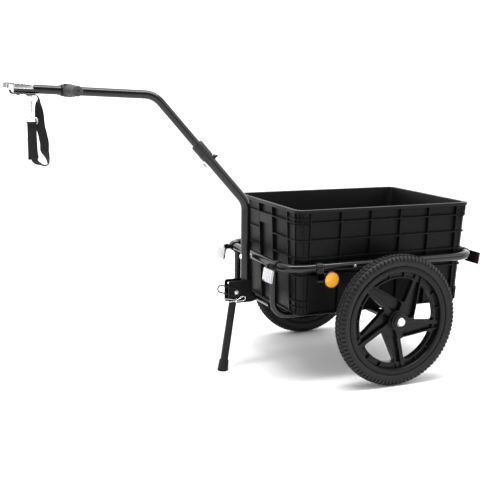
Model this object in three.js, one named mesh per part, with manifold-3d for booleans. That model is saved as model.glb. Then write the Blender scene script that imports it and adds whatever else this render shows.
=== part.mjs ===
// Cargo trailer for a bicycle that also serves as a hand cart: a plastic tub in a tube frame on two moulded
// wheels, with a cranked drawbar, a T handle, a coupling with its safety strap, and a folding stand.
// Millimetres. +X points rearwards, away from the coupling, +Y to the trailer's right, +Z up.
// While the pieces are made, x = 0 is the axle line and z = 0 the floor; the last lines centre the whole.
import * as THREE from "three";
import { mergeVertices } from "three/addons/utils/BufferGeometryUtils.js";
import Module from "manifold-3d";

const wasm = await Module();
wasm.setup();

// Shared fits and facets
const CLEARANCE = 0.3;
const OVERRUN = 6;
const WELD_DISTANCE = 0.0005;
const TUBE_SIDES = 12;
const BORE_SIDES = 6;
const BEND_STEPS = 4;
const CORNER_STEPS = 3;
const WINDOW_STEPS = 2;
const WHEEL_SIDES = 24;
const ROUND_SIDES = 12;
const BOLT_SIDES = 8;
const HEX_SIDES = 6;
const WIRE_SIDES = 5;

// Wheels
const TYRE_HEIGHT = 37;
const TYRE_WIDTH = 47;
const TYRE_TREAD_WIDTH = 20;
const TYRE_WALL = 4;
const TREAD_THICKNESS = 7;
// Shares of the tyre's height above its seat and of its half width, at the two bulges of its side
const TYRE_BULGE_SHARES = [[0.38, 0.94], [0.72, 0.97]];
const WHEEL_OUTSET = 75.5;
const RIM_RADIUS = 163;
const RIM_WIDTH = 38;
const RIM_LIP_THICKNESS = 3;
const RIM_LIP_HEIGHT = 9;
const RIM_WELL_DEPTH = 4;
const RIM_WELL_WIDTH = 16;
const RIM_FLANGE_HEIGHT = 17;
const CHANNEL_DEPTH = 14;
const RIM_BAND = 4;
const CHANNEL_RIBS_PER_SPOKE = 2;
const CHANNEL_RIB_WIDTH = 3;
const CHANNEL_RIB_DEPTH = 24;
const SPOKE_COUNT = 5;
const SPOKE_THICKNESS = 14;
const SPOKE_HOLLOW_DEPTH = 5;
// Corners of a spoke's hollow: share of the way from hub to rim, and of the angle between two spokes
const HOLLOW_CORNER_SHARES = [[0.983, -0.024], [0.983, 0.057], [0.17, 0.917], [0.025, 0.528]];
const WINDOW_HUB_GAP = 28;
const WINDOW_START = THREE.MathUtils.degToRad(55);
const WINDOW_SPAN = THREE.MathUtils.degToRad(58);
const WINDOW_CORNER = 9;
const HUB_RADIUS = 28;
const HUB_LENGTH = 60;
const BEARING_RADIUS = 14;
const BEARING_STEP = 3;
const BEARING_BORE_RADIUS = 6;
const BEARING_WIDTH = 8;
const BEARING_RECESS = 4;
const AXLE_BOLT_GRIP = 45;
const AXLE_CAP_RADIUS = 12.5;
const AXLE_CAP_HEIGHT = 6;
const AXLE_CAP_EDGE_SHARE = 1 / 3;
const INNER_TUBE_WALL = 1.5;
const INNER_TUBE_FOOT_SHARE = 0.4;

// Frame tubes
const HOOP_TUBE_RADIUS = 12.5;
const HOOP_WALL = 1.6;
const HOOP_RISE = 148.4;
const HOOP_CORNER_RADIUS = 62;
const HOOP_END_GAP = 26;
const LEG_TUBE_RADIUS = 10;
const LEG_WALL = 1.6;
const LEG_INSET = 86;
const LEG_BEND_RADIUS = 48;
const CROSS_TUBE_RISE = 32.7;
const AXLE_TUBE_RADIUS = 11;
const DRAIN_HOLE_RADIUS = 3;

// Tub
const TUB_LENGTH = 600;
const TUB_WIDTH = 450;
const TUB_HEIGHT = 316;
const TUB_OFFSET = 5;
const TUB_TAPER = 14;
const TUB_CORNER_RADIUS = 26;
const RIM_PROJECTION = 10;
const RIM_HEIGHT = 9;
const TUB_WALL = 3;
const TUB_FLOOR = 4;
const RIB_PROJECTION = 9;
const RIB_THICKNESS = 3;
const RIB_COUNT = 4;
const RIB_DROP = 38;
const RIB_PITCH = 52.5;
const BAY_COUNT = 5;
const LONG_COLUMN_WIDTH = 38.5;
const END_COLUMN_WIDTH = 60;
const HANDLE_RIB_SPACING = 96;
const COLUMN_PROJECTION = 4;
const BLOCK_PROJECTION = 8;
const TOP_BLOCK_HEIGHT = 34;
const FOOT_BLOCK_HEIGHT = 44;
const BLOCK_CHAMFER = 14;
const BASE_RIM_PROJECTION = 5;
const BASE_RIM_HEIGHT = 6;
const GRIP_LIP_HEIGHT = 30;
const GRIP_LIP_THICKNESS = 3;

// Drawbar
const DRAWBAR_RADIUS = 14.5;
const DRAWBAR_WALL = 1.6;
const UPPER_TUBE_RADIUS = 12.5;
const UPPER_WALL = 1.6;
const DRAWBAR_SPACER = 4;
const DRAWBAR_KNEE_DROP = 0.9;
const DRAWBAR_KNEE_RADIUS = 62;
const DRAWBAR_RISE_ANGLE = THREE.MathUtils.degToRad(48.3);
const DRAWBAR_NECK_REACH = 287;
const DRAWBAR_NECK_RADIUS = 70;
const DRAWBAR_TIP_REACH = 680;
const DRAWBAR_TIP_SLOPE = THREE.MathUtils.degToRad(2.4);
const DRAWBAR_FOOT_RISE = 14;
const COLLAR_DISTANCE = 213;
const COLLAR_LENGTH = 54;
const COLLAR_RADIUS = 18.5;
const TELESCOPE_OVERLAP = 70;
const COLLAR_BOLT_RADIUS = 3;
const COLLAR_BOLT_HEAD_SHARE = 2.4;
const COLLAR_BOLT_SETBACK = 38;
const WING_SPAN = 30;
const WING_THICKNESS = 5;
const WING_HEIGHT = 11;
const WING_HUB_SHARE = 2.2;
const HOOP_BOLT_RADIUS = 4;

// T handle
const HANDLE_SETBACK = 152;
const HANDLE_GAP = 7.5;
const HANDLE_BAR_RADIUS = 9;
const HANDLE_SLEEVE_RADIUS = 16.5;
const HANDLE_SLEEVE_LENGTH = 40;
const GRIP_RADIUS = 14.5;
const GRIP_FLANGE_RADIUS = 18;
const GRIP_FLANGE_THICKNESS = 4;
const GRIP_LENGTH = 108;
const GRIP_END = 6;

// Coupling and strap
const COUPLING_TAIL = 10;
const COUPLING_OVERHANG = 34;
const COUPLING_PLATE = 2.5;
const COUPLING_SKIRT = 16;
const COUPLING_EYE_RADIUS = 4.5;
const COUPLING_BOLT_RADIUS = 3;
const COUPLING_FRONT_BOLT = 12;
const COUPLING_BOLT_SPACING = 28;
const BOLT_HEAD_RADIUS = 5;
const BOLT_HEAD_HEIGHT = 3;
const BOLT_END = 4;
const REAR_BOLT_END = 1;
const TONGUE_WIDTH = 22;
const TONGUE_THICKNESS = 3;
const TONGUE_NOSE = 9;
const TONGUE_TAIL = 18;
const STRAP_WIDTH = 25;
const STRAP_THICKNESS = 1.6;
const STRAP_DROP = 115;
const STRAP_REACH = 40;
const STRAP_SWAY = 6;
const SEWN_SHARE = 0.85;
const LUG_THICKNESS = 3;
const LUG_WIDTH = 12;
const LUG_DROP = 5;
const LUG_BASE = 2;
const LUG_RIM = 1.8;
const RING_WIRE = 2.6;
const RING_WIDTH = 26;
const RING_HEIGHT = 13;
const HOOK_THICKNESS = 4.5;
const HOOK_BAR = 3.8;
const HOOK_OPENING = 11;
const HOOK_PLAY = 1;
const HOOK_LENGTH = 44;
const HOOK_BASE_HEIGHT = 9;
const GATE_LENGTH = 12;
const GATE_THICKNESS = 3.4;
const SWIVEL_POST_RADIUS = 2.4;
const LOOP_PLAY = 0.5;
const LOOP_HEIGHT = 20;
const LOOP_BAR = 4;

// Stand
const BRACKET_PLATE = 3.5;
const BRACKET_PIN_MARGIN = 9;
const BRACKET_FOOT_MARGIN = 7;
const BRACKET_NOSE_MARGIN = 26;
const PIVOT_RISE = 18;
const PIVOT_GAP = 9.5;
const PIVOT_RADIUS = 4;
const PIVOT_BOLT_END = 6;
const PIVOT_NUT_HEIGHT = 4.8;
const PIVOT_NUT_RADIUS = 7.2;
const PIN_HEAD_SHARE = 1.7;
const STAND_LEAN = THREE.MathUtils.degToRad(8.5);
const STAND_TUBE_RADIUS = 12;
const STAND_WALL = 1.6;
const STAND_HEAD = 12;
const STAND_FOOT_RADIUS = 16.5;
const STAND_FOOT_HEIGHT = 32;
const STAND_FOOT_SOLE = 5;
const STAND_FOOT_TAPER = 1.5;
const LOCK_PIN_DISTANCE = 27;
const LOCK_PIN_RADIUS = 3;
const LOCK_PIN_END = 9;
const STOW_HOLE_TURN = THREE.MathUtils.degToRad(142);
const CLIP_WIRE_RADIUS = 1.2;
const CLIP_LENGTH = 62;
const CLIP_EYE_RADIUS = 6;
const CLIP_EYE_SHARE = 1 / 3;
const CLIP_TIP_SHARE = 0.6;
const CLIP_TURN_SHARE = 0.9;
const CLIP_RISE_SHARE = 1.4;
const CLIP_RETURN_SHARE = 1 / 3;
const PULL_RING_WIRE_RADIUS = 2.2;
const PULL_RING_LENGTH = 80;
const PULL_RING_HEIGHT = 26;
const PULL_RING_LIFT = THREE.MathUtils.degToRad(17);

// Reflectors
const LENS_THICKNESS = 4;
const HOUSING_WALL = 3;
const HOUSING_DEPTH = 7;
const SIDE_LENS_RADIUS = 22.5;
const SIDE_REFLECTOR_INSET = 136;
const SIDE_REFLECTOR_DROP = 35;
const SIDE_CLAMP_SHIFT = -35;
const CLAMP_THICKNESS = 3;
const CLAMP_WIDTH = 20;
const END_LENS_WIDTH = 65;
const END_LENS_HEIGHT = 37;
const END_LENS_CROWN = 4;
const END_LENS_FACET_SHARE = 1 / 3;
const END_LENS_INSET = 36.5;
const END_LENS_TILT = THREE.MathUtils.degToRad(8);
const FRONT_STAND_OFF = 38;
const FRONT_LENS_DROP = 21;
const REAR_STAND_OFF = 25;
const REAR_LENS_DROP = 14;
const ARM_WIDTH = 12;
const ARM_HEIGHT = 14;
const HOOP_SCREW_RADIUS = 2.5;
const HOOP_SCREW_HEAD = 4.5;
const HOOP_SCREW_SHIFT = 80;

// Radii of the wheel that follow from the sizes
const TYRE_RADIUS = RIM_RADIUS + TYRE_HEIGHT;
const CHANNEL_OUTER_RADIUS = RIM_RADIUS - RIM_FLANGE_HEIGHT;
const CHANNEL_INNER_RADIUS = CHANNEL_OUTER_RADIUS - CHANNEL_DEPTH;
const WINDOW_RADIUS = CHANNEL_INNER_RADIUS - RIM_BAND;
const WINDOW_TIP_RADIUS = HUB_RADIUS + WINDOW_HUB_GAP;
const HUB_BORE_RADIUS = BEARING_RADIUS - BEARING_STEP;
const AXLE_BOLT_RADIUS = BEARING_BORE_RADIUS - CLEARANCE;

// Heights that follow, from the axle upwards
const AXLE_HEIGHT = TYRE_RADIUS * Math.cos(Math.PI / WHEEL_SIDES);
const TUB_BOTTOM = AXLE_HEIGHT + AXLE_TUBE_RADIUS + CLEARANCE;
const TUB_TOP = TUB_BOTTOM + TUB_HEIGHT;
const HOOP_HEIGHT = TUB_BOTTOM + HOOP_RISE;
const LEG_RUN_HEIGHT = AXLE_HEIGHT + AXLE_TUBE_RADIUS - LEG_TUBE_RADIUS;
const CROSS_TUBE_HEIGHT = LEG_RUN_HEIGHT + CROSS_TUBE_RISE;
const PIVOT_HEIGHT = CROSS_TUBE_HEIGHT + PIVOT_RISE;
const BRACKET_BOTTOM = PIVOT_HEIGHT - LOCK_PIN_DISTANCE - BRACKET_FOOT_MARGIN;
const BRACKET_TOP = PIVOT_HEIGHT + LOCK_PIN_DISTANCE + BRACKET_PIN_MARGIN;
const DRAWBAR_FOOT_HEIGHT = BRACKET_BOTTOM + DRAWBAR_FOOT_RISE;
const DRAWBAR_KNEE_HEIGHT = TUB_TOP - DRAWBAR_KNEE_DROP;

// Lengths that follow, along the trailer
const HOOP_REACH = TUB_LENGTH / 2 + HOOP_END_GAP;
const BAY_LENGTH = (TUB_LENGTH - 2 * RIM_PROJECTION - 2 * LONG_COLUMN_WIDTH) / BAY_COUNT;
const DRAWBAR_LINE = -(HOOP_REACH + HOOP_TUBE_RADIUS + DRAWBAR_SPACER + CLEARANCE + DRAWBAR_RADIUS);
const PIVOT_REACH = DRAWBAR_RADIUS + PIVOT_GAP + STAND_TUBE_RADIUS;
const BRACKET_NOSE = PIVOT_REACH + BRACKET_NOSE_MARGIN;
const HANDLE_DISTANCE = DRAWBAR_TIP_REACH - HANDLE_SETBACK;
const COLLAR_BOLT_DISTANCE = COLLAR_DISTANCE - COLLAR_BOLT_SETBACK;
const COUPLING_LENGTH = COUPLING_OVERHANG + COUPLING_FRONT_BOLT + COUPLING_BOLT_SPACING + COUPLING_TAIL;
const SIDE_REFLECTOR_PLACE = SIDE_REFLECTOR_INSET - HOOP_REACH;
const HOOP_SCREW_PLACE = SIDE_REFLECTOR_PLACE + HOOP_SCREW_SHIFT;

// Widths that follow
const TRACK = TUB_WIDTH + 2 * WHEEL_OUTSET;
const HUB_INNER_FACE = (TRACK - HUB_LENGTH) / 2;
const LEG_SPACING = TUB_WIDTH - 2 * LEG_INSET;
const END_RIB_SPACING = TUB_WIDTH - 2 * RIM_PROJECTION - 2 * END_COLUMN_WIDTH;
const END_LENS_PLACE = TUB_WIDTH / 2 - END_LENS_INSET;
const HANDLE_HALF_LENGTH = HANDLE_SLEEVE_RADIUS + HANDLE_GAP + GRIP_LENGTH - GRIP_END;
const LOOP_WIDTH = STRAP_WIDTH + 2 * LOOP_PLAY + 2 * LOOP_BAR;
const BAND_RADIUS = HOOP_TUBE_RADIUS + CLEARANCE + CLAMP_THICKNESS;

/** How far the tub's wall has drawn in at a height, from its taper. */
function tubInset(height) {
  return TUB_TAPER * (TUB_TOP - height) / TUB_HEIGHT;
}
const HOOP_HALF_WIDTH = TUB_WIDTH / 2 - RIM_PROJECTION + RIB_PROJECTION - tubInset(HOOP_HEIGHT + HOOP_TUBE_RADIUS)
  + CLEARANCE + HOOP_TUBE_RADIUS;

// Finishes
const finish = (color, roughness, metalness = 0) =>
  new THREE.MeshStandardMaterial({ color, roughness, metalness });
const BLACK_PAINT = finish(0x121213, 0.28, 0.1);
const TUB_PLASTIC = finish(0x1b1b1d, 0.5);
const WHEEL_PLASTIC = finish(0x161617, 0.42);
const RUBBER = finish(0x1c1c1d, 0.85);
const GRIP_RUBBER = finish(0x3a393c, 0.8);
const ZINC = finish(0xc9cbcd, 0.3, 0.9);
const STEEL = finish(0x9a9da0, 0.35, 0.9);
const WEBBING = finish(0x17171a, 0.9);
const BLACK_PLASTIC = finish(0x0e0e0f, 0.45);
const AMBER_LENS = finish(0xf2a21c, 0.2);
const CLEAR_LENS = finish(0xf1f1ee, 0.2);
const RED_LENS = finish(0xa0141a, 0.2);

/** A geometry as a solid for cutting and joining: shared vertices merged and empty triangles dropped. */
function toSolid(geometry) {
  const plain = new THREE.BufferGeometry();
  plain.setAttribute("position", geometry.getAttribute("position"));
  plain.setIndex(geometry.getIndex());
  const merged = mergeVertices(plain, WELD_DISTANCE);
  const index = merged.getIndex().array;
  const triangles = [];
  for (let i = 0; i < index.length; i += 3) {
    const [a, b, c] = [index[i], index[i + 1], index[i + 2]];
    if (a !== b && b !== c && c !== a) triangles.push(a, b, c);
  }
  return new wasm.Manifold(new wasm.Mesh({
    numProp: 3,
    vertProperties: Float32Array.from(merged.getAttribute("position").array),
    triVerts: Uint32Array.from(triangles),
  }));
}

/** A solid as a geometry. */
function toGeometry(solid) {
  const { vertProperties, triVerts } = solid.getMesh();
  const geometry = new THREE.BufferGeometry();
  geometry.setAttribute("position", new THREE.BufferAttribute(Float32Array.from(vertProperties), 3));
  geometry.setIndex(new THREE.BufferAttribute(Uint32Array.from(triVerts), 1));
  geometry.computeVertexNormals();
  return geometry;
}

/** Joins geometries into one body. */
function join(...geometries) {
  return toGeometry(geometries.map(toSolid).reduce((sum, solid) => sum.add(solid)));
}

/** Cuts every tool out of a geometry. */
function cut(geometry, ...tools) {
  return toGeometry(tools.map(toSolid).reduce((rest, tool) => rest.subtract(tool), toSolid(geometry)));
}

/** Keeps what two geometries share. */
function common(first, second) {
  return toGeometry(toSolid(first).intersect(toSolid(second)));
}

/** Straight runs joined by round bends, with a section only where the route starts to turn, turns or ends. */
class BentRoute extends THREE.Curve {
  constructor(corners) {
    super();
    this.stations = [];
    corners.forEach(({ at, bend }, i) => {
      const before = corners[i - 1];
      const after = corners[i + 1];
      if (!before || !after) {
        const tangent = before ? at.clone().sub(before.at) : after.at.clone().sub(at);
        this.stations.push({ point: at, tangent: tangent.normalize() });
        return;
      }
      const incoming = at.clone().sub(before.at).normalize();
      const outgoing = after.at.clone().sub(at).normalize();
      const turn = incoming.angleTo(outgoing);
      const start = at.clone().addScaledVector(incoming, -bend * Math.tan(turn / 2));
      const axis = incoming.clone().cross(outgoing).normalize();
      const centre = start.clone().addScaledVector(axis.clone().cross(incoming), bend);
      for (let step = 0; step <= BEND_STEPS; step++) {
        const angle = turn * step / BEND_STEPS;
        const point = start.clone().sub(centre).applyAxisAngle(axis, angle).add(centre);
        this.stations.push({ point, tangent: incoming.clone().applyAxisAngle(axis, angle) });
      }
    });
  }

  get steps() {
    return this.stations.length - 1;
  }

  getPoint(t, target = new THREE.Vector3()) {
    const place = Math.round(t * this.steps);
    return target.copy(this.stations[place].point);
  }

  getTangent(t, target = new THREE.Vector3()) {
    const place = Math.round(t * this.steps);
    return target.copy(this.stations[place].tangent);
  }

  getPointAt(u, target) {
    return this.getPoint(u, target);
  }

  getTangentAt(u, target) {
    return this.getTangent(u, target);
  }
}

/** A regular polygon's corners on a circle, with a flat side square to the first axis. */
function polygon(radius, sides) {
  return Array.from({ length: sides }, (_, i) => {
    const angle = 2 * Math.PI * (i + 0.5) / sides;
    return new THREE.Vector2(radius * Math.cos(angle), radius * Math.sin(angle));
  });
}

/** A round section, hollow where an inner radius is given. */
function roundSection(radius, inner, sides, boreSides) {
  const section = new THREE.Shape(polygon(radius, sides));
  if (inner > 0) section.holes.push(new THREE.Path(polygon(inner, boreSides)));
  return section;
}

/** A tube or rod along straight runs and bends. */
function bentTube(corners, radius, inner = 0, sides = TUBE_SIDES, boreSides = BORE_SIDES) {
  const route = new BentRoute(corners);
  return new THREE.ExtrudeGeometry(roundSection(radius, inner, sides, boreSides), {
    steps: route.steps, extrudePath: route, bevelEnabled: false,
  });
}

/** A straight tube or rod between two points. */
function rod(from, to, radius, inner = 0, sides = BOLT_SIDES) {
  return bentTube([{ at: from }, { at: to }], radius, inner, sides, sides);
}

/** An outline pushed straight up by a depth. */
function extruded(shape, depth, curveSegments = CORNER_STEPS) {
  return new THREE.ExtrudeGeometry(shape, { depth, bevelEnabled: false, curveSegments });
}

/** An outline in the X-Z plane with a thickness along Y, centred on a middle line. */
function plateXZ(shape, thickness, middle = 0, steps = CORNER_STEPS) {
  const geometry = extruded(shape, thickness, steps);
  return geometry.rotateX(Math.PI / 2).translate(0, middle + thickness / 2, 0);
}

/** An outline in the Y-Z plane with a thickness along X, centred on a middle line. */
function plateYZ(shape, thickness, middle = 0) {
  const geometry = extruded(shape, thickness);
  return geometry.rotateX(Math.PI / 2).rotateZ(Math.PI / 2).translate(middle - thickness / 2, 0, 0);
}

/** A box between two corners. */
function block(low, high) {
  const size = new THREE.Vector3(...high).sub(new THREE.Vector3(...low));
  const middle = new THREE.Vector3(...high).add(new THREE.Vector3(...low)).multiplyScalar(0.5);
  return new THREE.BoxGeometry(size.x, size.y, size.z).translate(middle.x, middle.y, middle.z);
}

/** A closed profile of radius and height turned about the Y axis, with a flat facet facing down. */
function turned(points, sides) {
  const profile = points.map(([radius, height]) => new THREE.Vector2(radius, height));
  if (THREE.ShapeUtils.isClockWise(profile)) profile.reverse();
  return new THREE.LatheGeometry([...profile, profile[0]], sides, Math.PI / sides);
}

/** A rectangle with round corners, centred on the origin. */
function roundedRectangle(width, height, radius) {
  const [x, y] = [width / 2, height / 2];
  const shape = new THREE.Shape();
  shape.moveTo(x - radius, -y);
  shape.absarc(x - radius, -y + radius, radius, -Math.PI / 2, 0);
  shape.absarc(x - radius, y - radius, radius, 0, Math.PI / 2);
  shape.absarc(-x + radius, y - radius, radius, Math.PI / 2, Math.PI);
  shape.absarc(-x + radius, -y + radius, radius, Math.PI, 1.5 * Math.PI);
  return shape;
}

const vector = (x, y, z) => new THREE.Vector3(x, y, z);
const root = new THREE.Group();

/** Hangs a named piece in a group. */
function piece(name, geometry, material, group = root) {
  const mesh = new THREE.Mesh(geometry, material);
  mesh.name = name;
  group.add(mesh);
  return mesh;
}

/** A layer of the tub's tapered outline between two heights, standing out from the wall by a projection. */
function tubLayer(low, high, projection) {
  const length = TUB_LENGTH - 2 * RIM_PROJECTION + 2 * projection;
  const width = TUB_WIDTH - 2 * RIM_PROJECTION + 2 * projection;
  const outline = roundedRectangle(length, width, TUB_CORNER_RADIUS);
  const layer = extruded(outline, high - low);
  layer.translate(0, 0, low);
  const position = layer.getAttribute("position");
  for (let i = 0; i < position.count; i++) {
    const inset = tubInset(position.getZ(i));
    position.setX(i, position.getX(i) - Math.sign(position.getX(i)) * inset);
    position.setY(i, position.getY(i) - Math.sign(position.getY(i)) * inset);
  }
  return layer.translate(TUB_OFFSET, 0, 0);
}

/** The four corner zones of the tub, from the last upright ribs to beyond the corners. */
function tubCorners(low, high) {
  const inner = [BAY_COUNT * BAY_LENGTH / 2, END_RIB_SPACING / 2];
  const outer = [TUB_LENGTH / 2 + OVERRUN, TUB_WIDTH / 2 + OVERRUN];
  const corners = [];
  for (const x of [-1, 1]) {
    for (const y of [-1, 1]) {
      const [x0, x1] = [x * inner[0], x * outer[0]].sort((a, b) => a - b);
      const [y0, y1] = [y * inner[1], y * outer[1]].sort((a, b) => a - b);
      corners.push(block([TUB_OFFSET + x0, y0, low], [TUB_OFFSET + x1, y1, high]));
    }
  }
  return join(...corners);
}

/** One upright rib across the tub, later cut down to what stands out of the walls. */
function tubUpright(axis, place) {
  const half = RIB_THICKNESS / 2;
  const band = axis === "x"
    ? block([TUB_OFFSET + place - half, -TUB_WIDTH, TUB_BOTTOM], [TUB_OFFSET + place + half, TUB_WIDTH,
      TUB_TOP])
    : block([-TUB_LENGTH, place - half, TUB_BOTTOM], [TUB_LENGTH, place + half, TUB_TOP]);
  return common(band, tubLayer(TUB_BOTTOM, TUB_TOP, RIB_PROJECTION));
}

/** The tapered tub with its rim, ribs, corner columns and blocks, and a hand ledge at each end. */
function makeTub() {
  const layers = [
    tubLayer(TUB_BOTTOM, TUB_TOP, 0),
    tubLayer(TUB_TOP - RIM_HEIGHT, TUB_TOP, RIM_PROJECTION),
    tubLayer(TUB_BOTTOM, TUB_BOTTOM + BASE_RIM_HEIGHT, BASE_RIM_PROJECTION),
  ];
  for (let i = 0; i < RIB_COUNT; i++) {
    const middle = TUB_TOP - RIB_DROP - i * RIB_PITCH;
    layers.push(tubLayer(middle - RIB_THICKNESS / 2, middle + RIB_THICKNESS / 2, RIB_PROJECTION));
  }
  for (let i = 0; i <= BAY_COUNT; i++) layers.push(tubUpright("x", (i - BAY_COUNT / 2) * BAY_LENGTH));
  for (const spacing of [END_RIB_SPACING, HANDLE_RIB_SPACING]) {
    layers.push(tubUpright("y", -spacing / 2), tubUpright("y", spacing / 2));
  }
  layers.push(common(tubLayer(TUB_BOTTOM, TUB_TOP, COLUMN_PROJECTION), tubCorners(TUB_BOTTOM, TUB_TOP)));
  const blockZones = [
    [TUB_BOTTOM, TUB_BOTTOM + FOOT_BLOCK_HEIGHT],
    [TUB_TOP - RIM_HEIGHT - TOP_BLOCK_HEIGHT, TUB_TOP - RIM_HEIGHT],
  ];
  for (const [low, high] of blockZones) {
    layers.push(common(tubLayer(low, high, BLOCK_PROJECTION), tubCorners(low, high)));
  }
  const lipTop = TUB_TOP - RIB_DROP;
  const reach = TUB_LENGTH / 2 - RIM_PROJECTION + RIB_PROJECTION - tubInset(lipTop - GRIP_LIP_HEIGHT);
  for (const end of [-1, 1]) {
    const [x0, x1] = [end * reach, end * (reach - GRIP_LIP_THICKNESS)].sort((a, b) => a - b);
    const half = HANDLE_RIB_SPACING / 2;
    layers.push(block([TUB_OFFSET + x0, -half, lipTop - GRIP_LIP_HEIGHT], [TUB_OFFSET + x1, half, lipTop]));
  }
  const inside = tubLayer(TUB_BOTTOM + TUB_FLOOR, TUB_TOP + OVERRUN, -TUB_WALL);
  return cut(join(...layers), inside, ...[-1, 1].map(hoopScrewHole));
}

/** The line of a hoop screw at a distance from the middle of the tub, on one side. */
const hoopScrewPoint = (side, distance) => vector(HOOP_SCREW_PLACE, side * distance, HOOP_HEIGHT);

/** The hole that a hoop screw passes through, on one side. */
function hoopScrewHole(side) {
  const start = TUB_WIDTH / 2 - TUB_TAPER - RIM_PROJECTION - OVERRUN;
  const end = HOOP_HALF_WIDTH + HOOP_TUBE_RADIUS + OVERRUN;
  return rod(hoopScrewPoint(side, start), hoopScrewPoint(side, end), HOOP_SCREW_RADIUS + CLEARANCE);
}

/** The hoop's outside or, with a margin, the space that pieces set against it leave free. */
function hoopLoop(radius, inner = 0) {
  const corner = (x, y) => ({ at: vector(x, y, HOOP_HEIGHT), bend: HOOP_CORNER_RADIUS });
  const end = (x, y) => ({ at: vector(x, y, HOOP_HEIGHT) });
  const [x, y] = [HOOP_REACH, HOOP_HALF_WIDTH];
  const front = bentTube([end(CLEARANCE, y), corner(-x, y), corner(-x, -y), end(CLEARANCE, -y)], radius,
    inner);
  const rear = bentTube([end(-CLEARANCE, -y), corner(x, -y), corner(x, y), end(-CLEARANCE, y)], radius,
    inner);
  return join(front, rear);
}

/** One of the two tubes that drop from the hoop and bend rearwards under the tub. */
function legTube(side, radius, inner = 0) {
  const y = side * LEG_SPACING / 2;
  return bentTube([
    { at: vector(-HOOP_REACH, y, HOOP_HEIGHT) },
    { at: vector(-HOOP_REACH, y, LEG_RUN_HEIGHT), bend: LEG_BEND_RADIUS },
    { at: vector(0, y, LEG_RUN_HEIGHT) },
  ], radius, inner);
}

function axleTube(radius, inner = 0) {
  const end = HUB_INNER_FACE - CLEARANCE;
  return rod(vector(0, -end, AXLE_HEIGHT), vector(0, end, AXLE_HEIGHT), radius, inner, TUBE_SIDES);
}

function makeFrame() {
  const hoopBolt = rod(vector(DRAWBAR_LINE, 0, HOOP_HEIGHT), vector(0, 0, HOOP_HEIGHT),
    HOOP_BOLT_RADIUS + CLEARANCE);
  const drain = rod(vector(HOOP_REACH, 0, HOOP_HEIGHT - HOOP_TUBE_RADIUS - OVERRUN),
    vector(HOOP_REACH, 0, HOOP_HEIGHT), DRAIN_HOLE_RADIUS);
  const hoop = hoopLoop(HOOP_TUBE_RADIUS, HOOP_TUBE_RADIUS - HOOP_WALL);
  piece("hoop_tube", cut(hoop, hoopBolt, drain, ...[-1, 1].map(hoopScrewHole)), BLACK_PAINT);
  for (const [name, side] of [["left", -1], ["right", 1]]) {
    const leg = legTube(side, LEG_TUBE_RADIUS, LEG_TUBE_RADIUS - LEG_WALL);
    piece(`${name}_frame_leg`, cut(leg, hoopLoop(HOOP_TUBE_RADIUS + CLEARANCE),
      axleTube(AXLE_TUBE_RADIUS + CLEARANCE)),
      BLACK_PAINT);
    const tip = HOOP_HALF_WIDTH - HOOP_TUBE_RADIUS - RIB_PROJECTION - TUB_WALL - OVERRUN;
    const face = HOOP_HALF_WIDTH + HOOP_TUBE_RADIUS + CLEARANCE;
    piece(`${name}_hoop_screw`, join(
      rod(hoopScrewPoint(side, tip), hoopScrewPoint(side, face + CLEARANCE), HOOP_SCREW_RADIUS),
      rod(hoopScrewPoint(side, face), hoopScrewPoint(side, face + HOOP_SCREW_RADIUS), HOOP_SCREW_HEAD),
    ), ZINC);
  }
  const crossEnd = LEG_SPACING / 2;
  const cross = rod(vector(-HOOP_REACH, -crossEnd, CROSS_TUBE_HEIGHT), vector(-HOOP_REACH, crossEnd,
    CROSS_TUBE_HEIGHT),
    LEG_TUBE_RADIUS, LEG_TUBE_RADIUS - LEG_WALL, TUBE_SIDES);
  piece("lower_cross_tube", cut(cross, ...[-1, 1].map((side) => legTube(side, LEG_TUBE_RADIUS + CLEARANCE))),
    BLACK_PAINT);
  piece("axle_tube", axleTube(AXLE_TUBE_RADIUS, AXLE_BOLT_RADIUS + CLEARANCE), BLACK_PAINT);
  piece("cargo_box", makeTub(), TUB_PLASTIC);
}

// Lines of the drawbar: up from the stand bracket, forward and up to the neck, then nearly level to the tip
const KNEE = vector(DRAWBAR_LINE, 0, DRAWBAR_KNEE_HEIGHT);
const RISE = vector(-Math.cos(DRAWBAR_RISE_ANGLE), 0, Math.sin(DRAWBAR_RISE_ANGLE));
const RISE_NORMAL = vector(RISE.z, 0, -RISE.x);
const NECK = KNEE.clone().addScaledVector(RISE, DRAWBAR_NECK_REACH / Math.cos(DRAWBAR_RISE_ANGLE));
const LEVEL = vector(-Math.cos(DRAWBAR_TIP_SLOPE), 0, Math.sin(DRAWBAR_TIP_SLOPE));
const TIP = NECK.clone().addScaledVector(LEVEL, DRAWBAR_TIP_REACH - DRAWBAR_NECK_REACH);
const onRise = (distance) => KNEE.clone().addScaledVector(RISE, distance);

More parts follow.
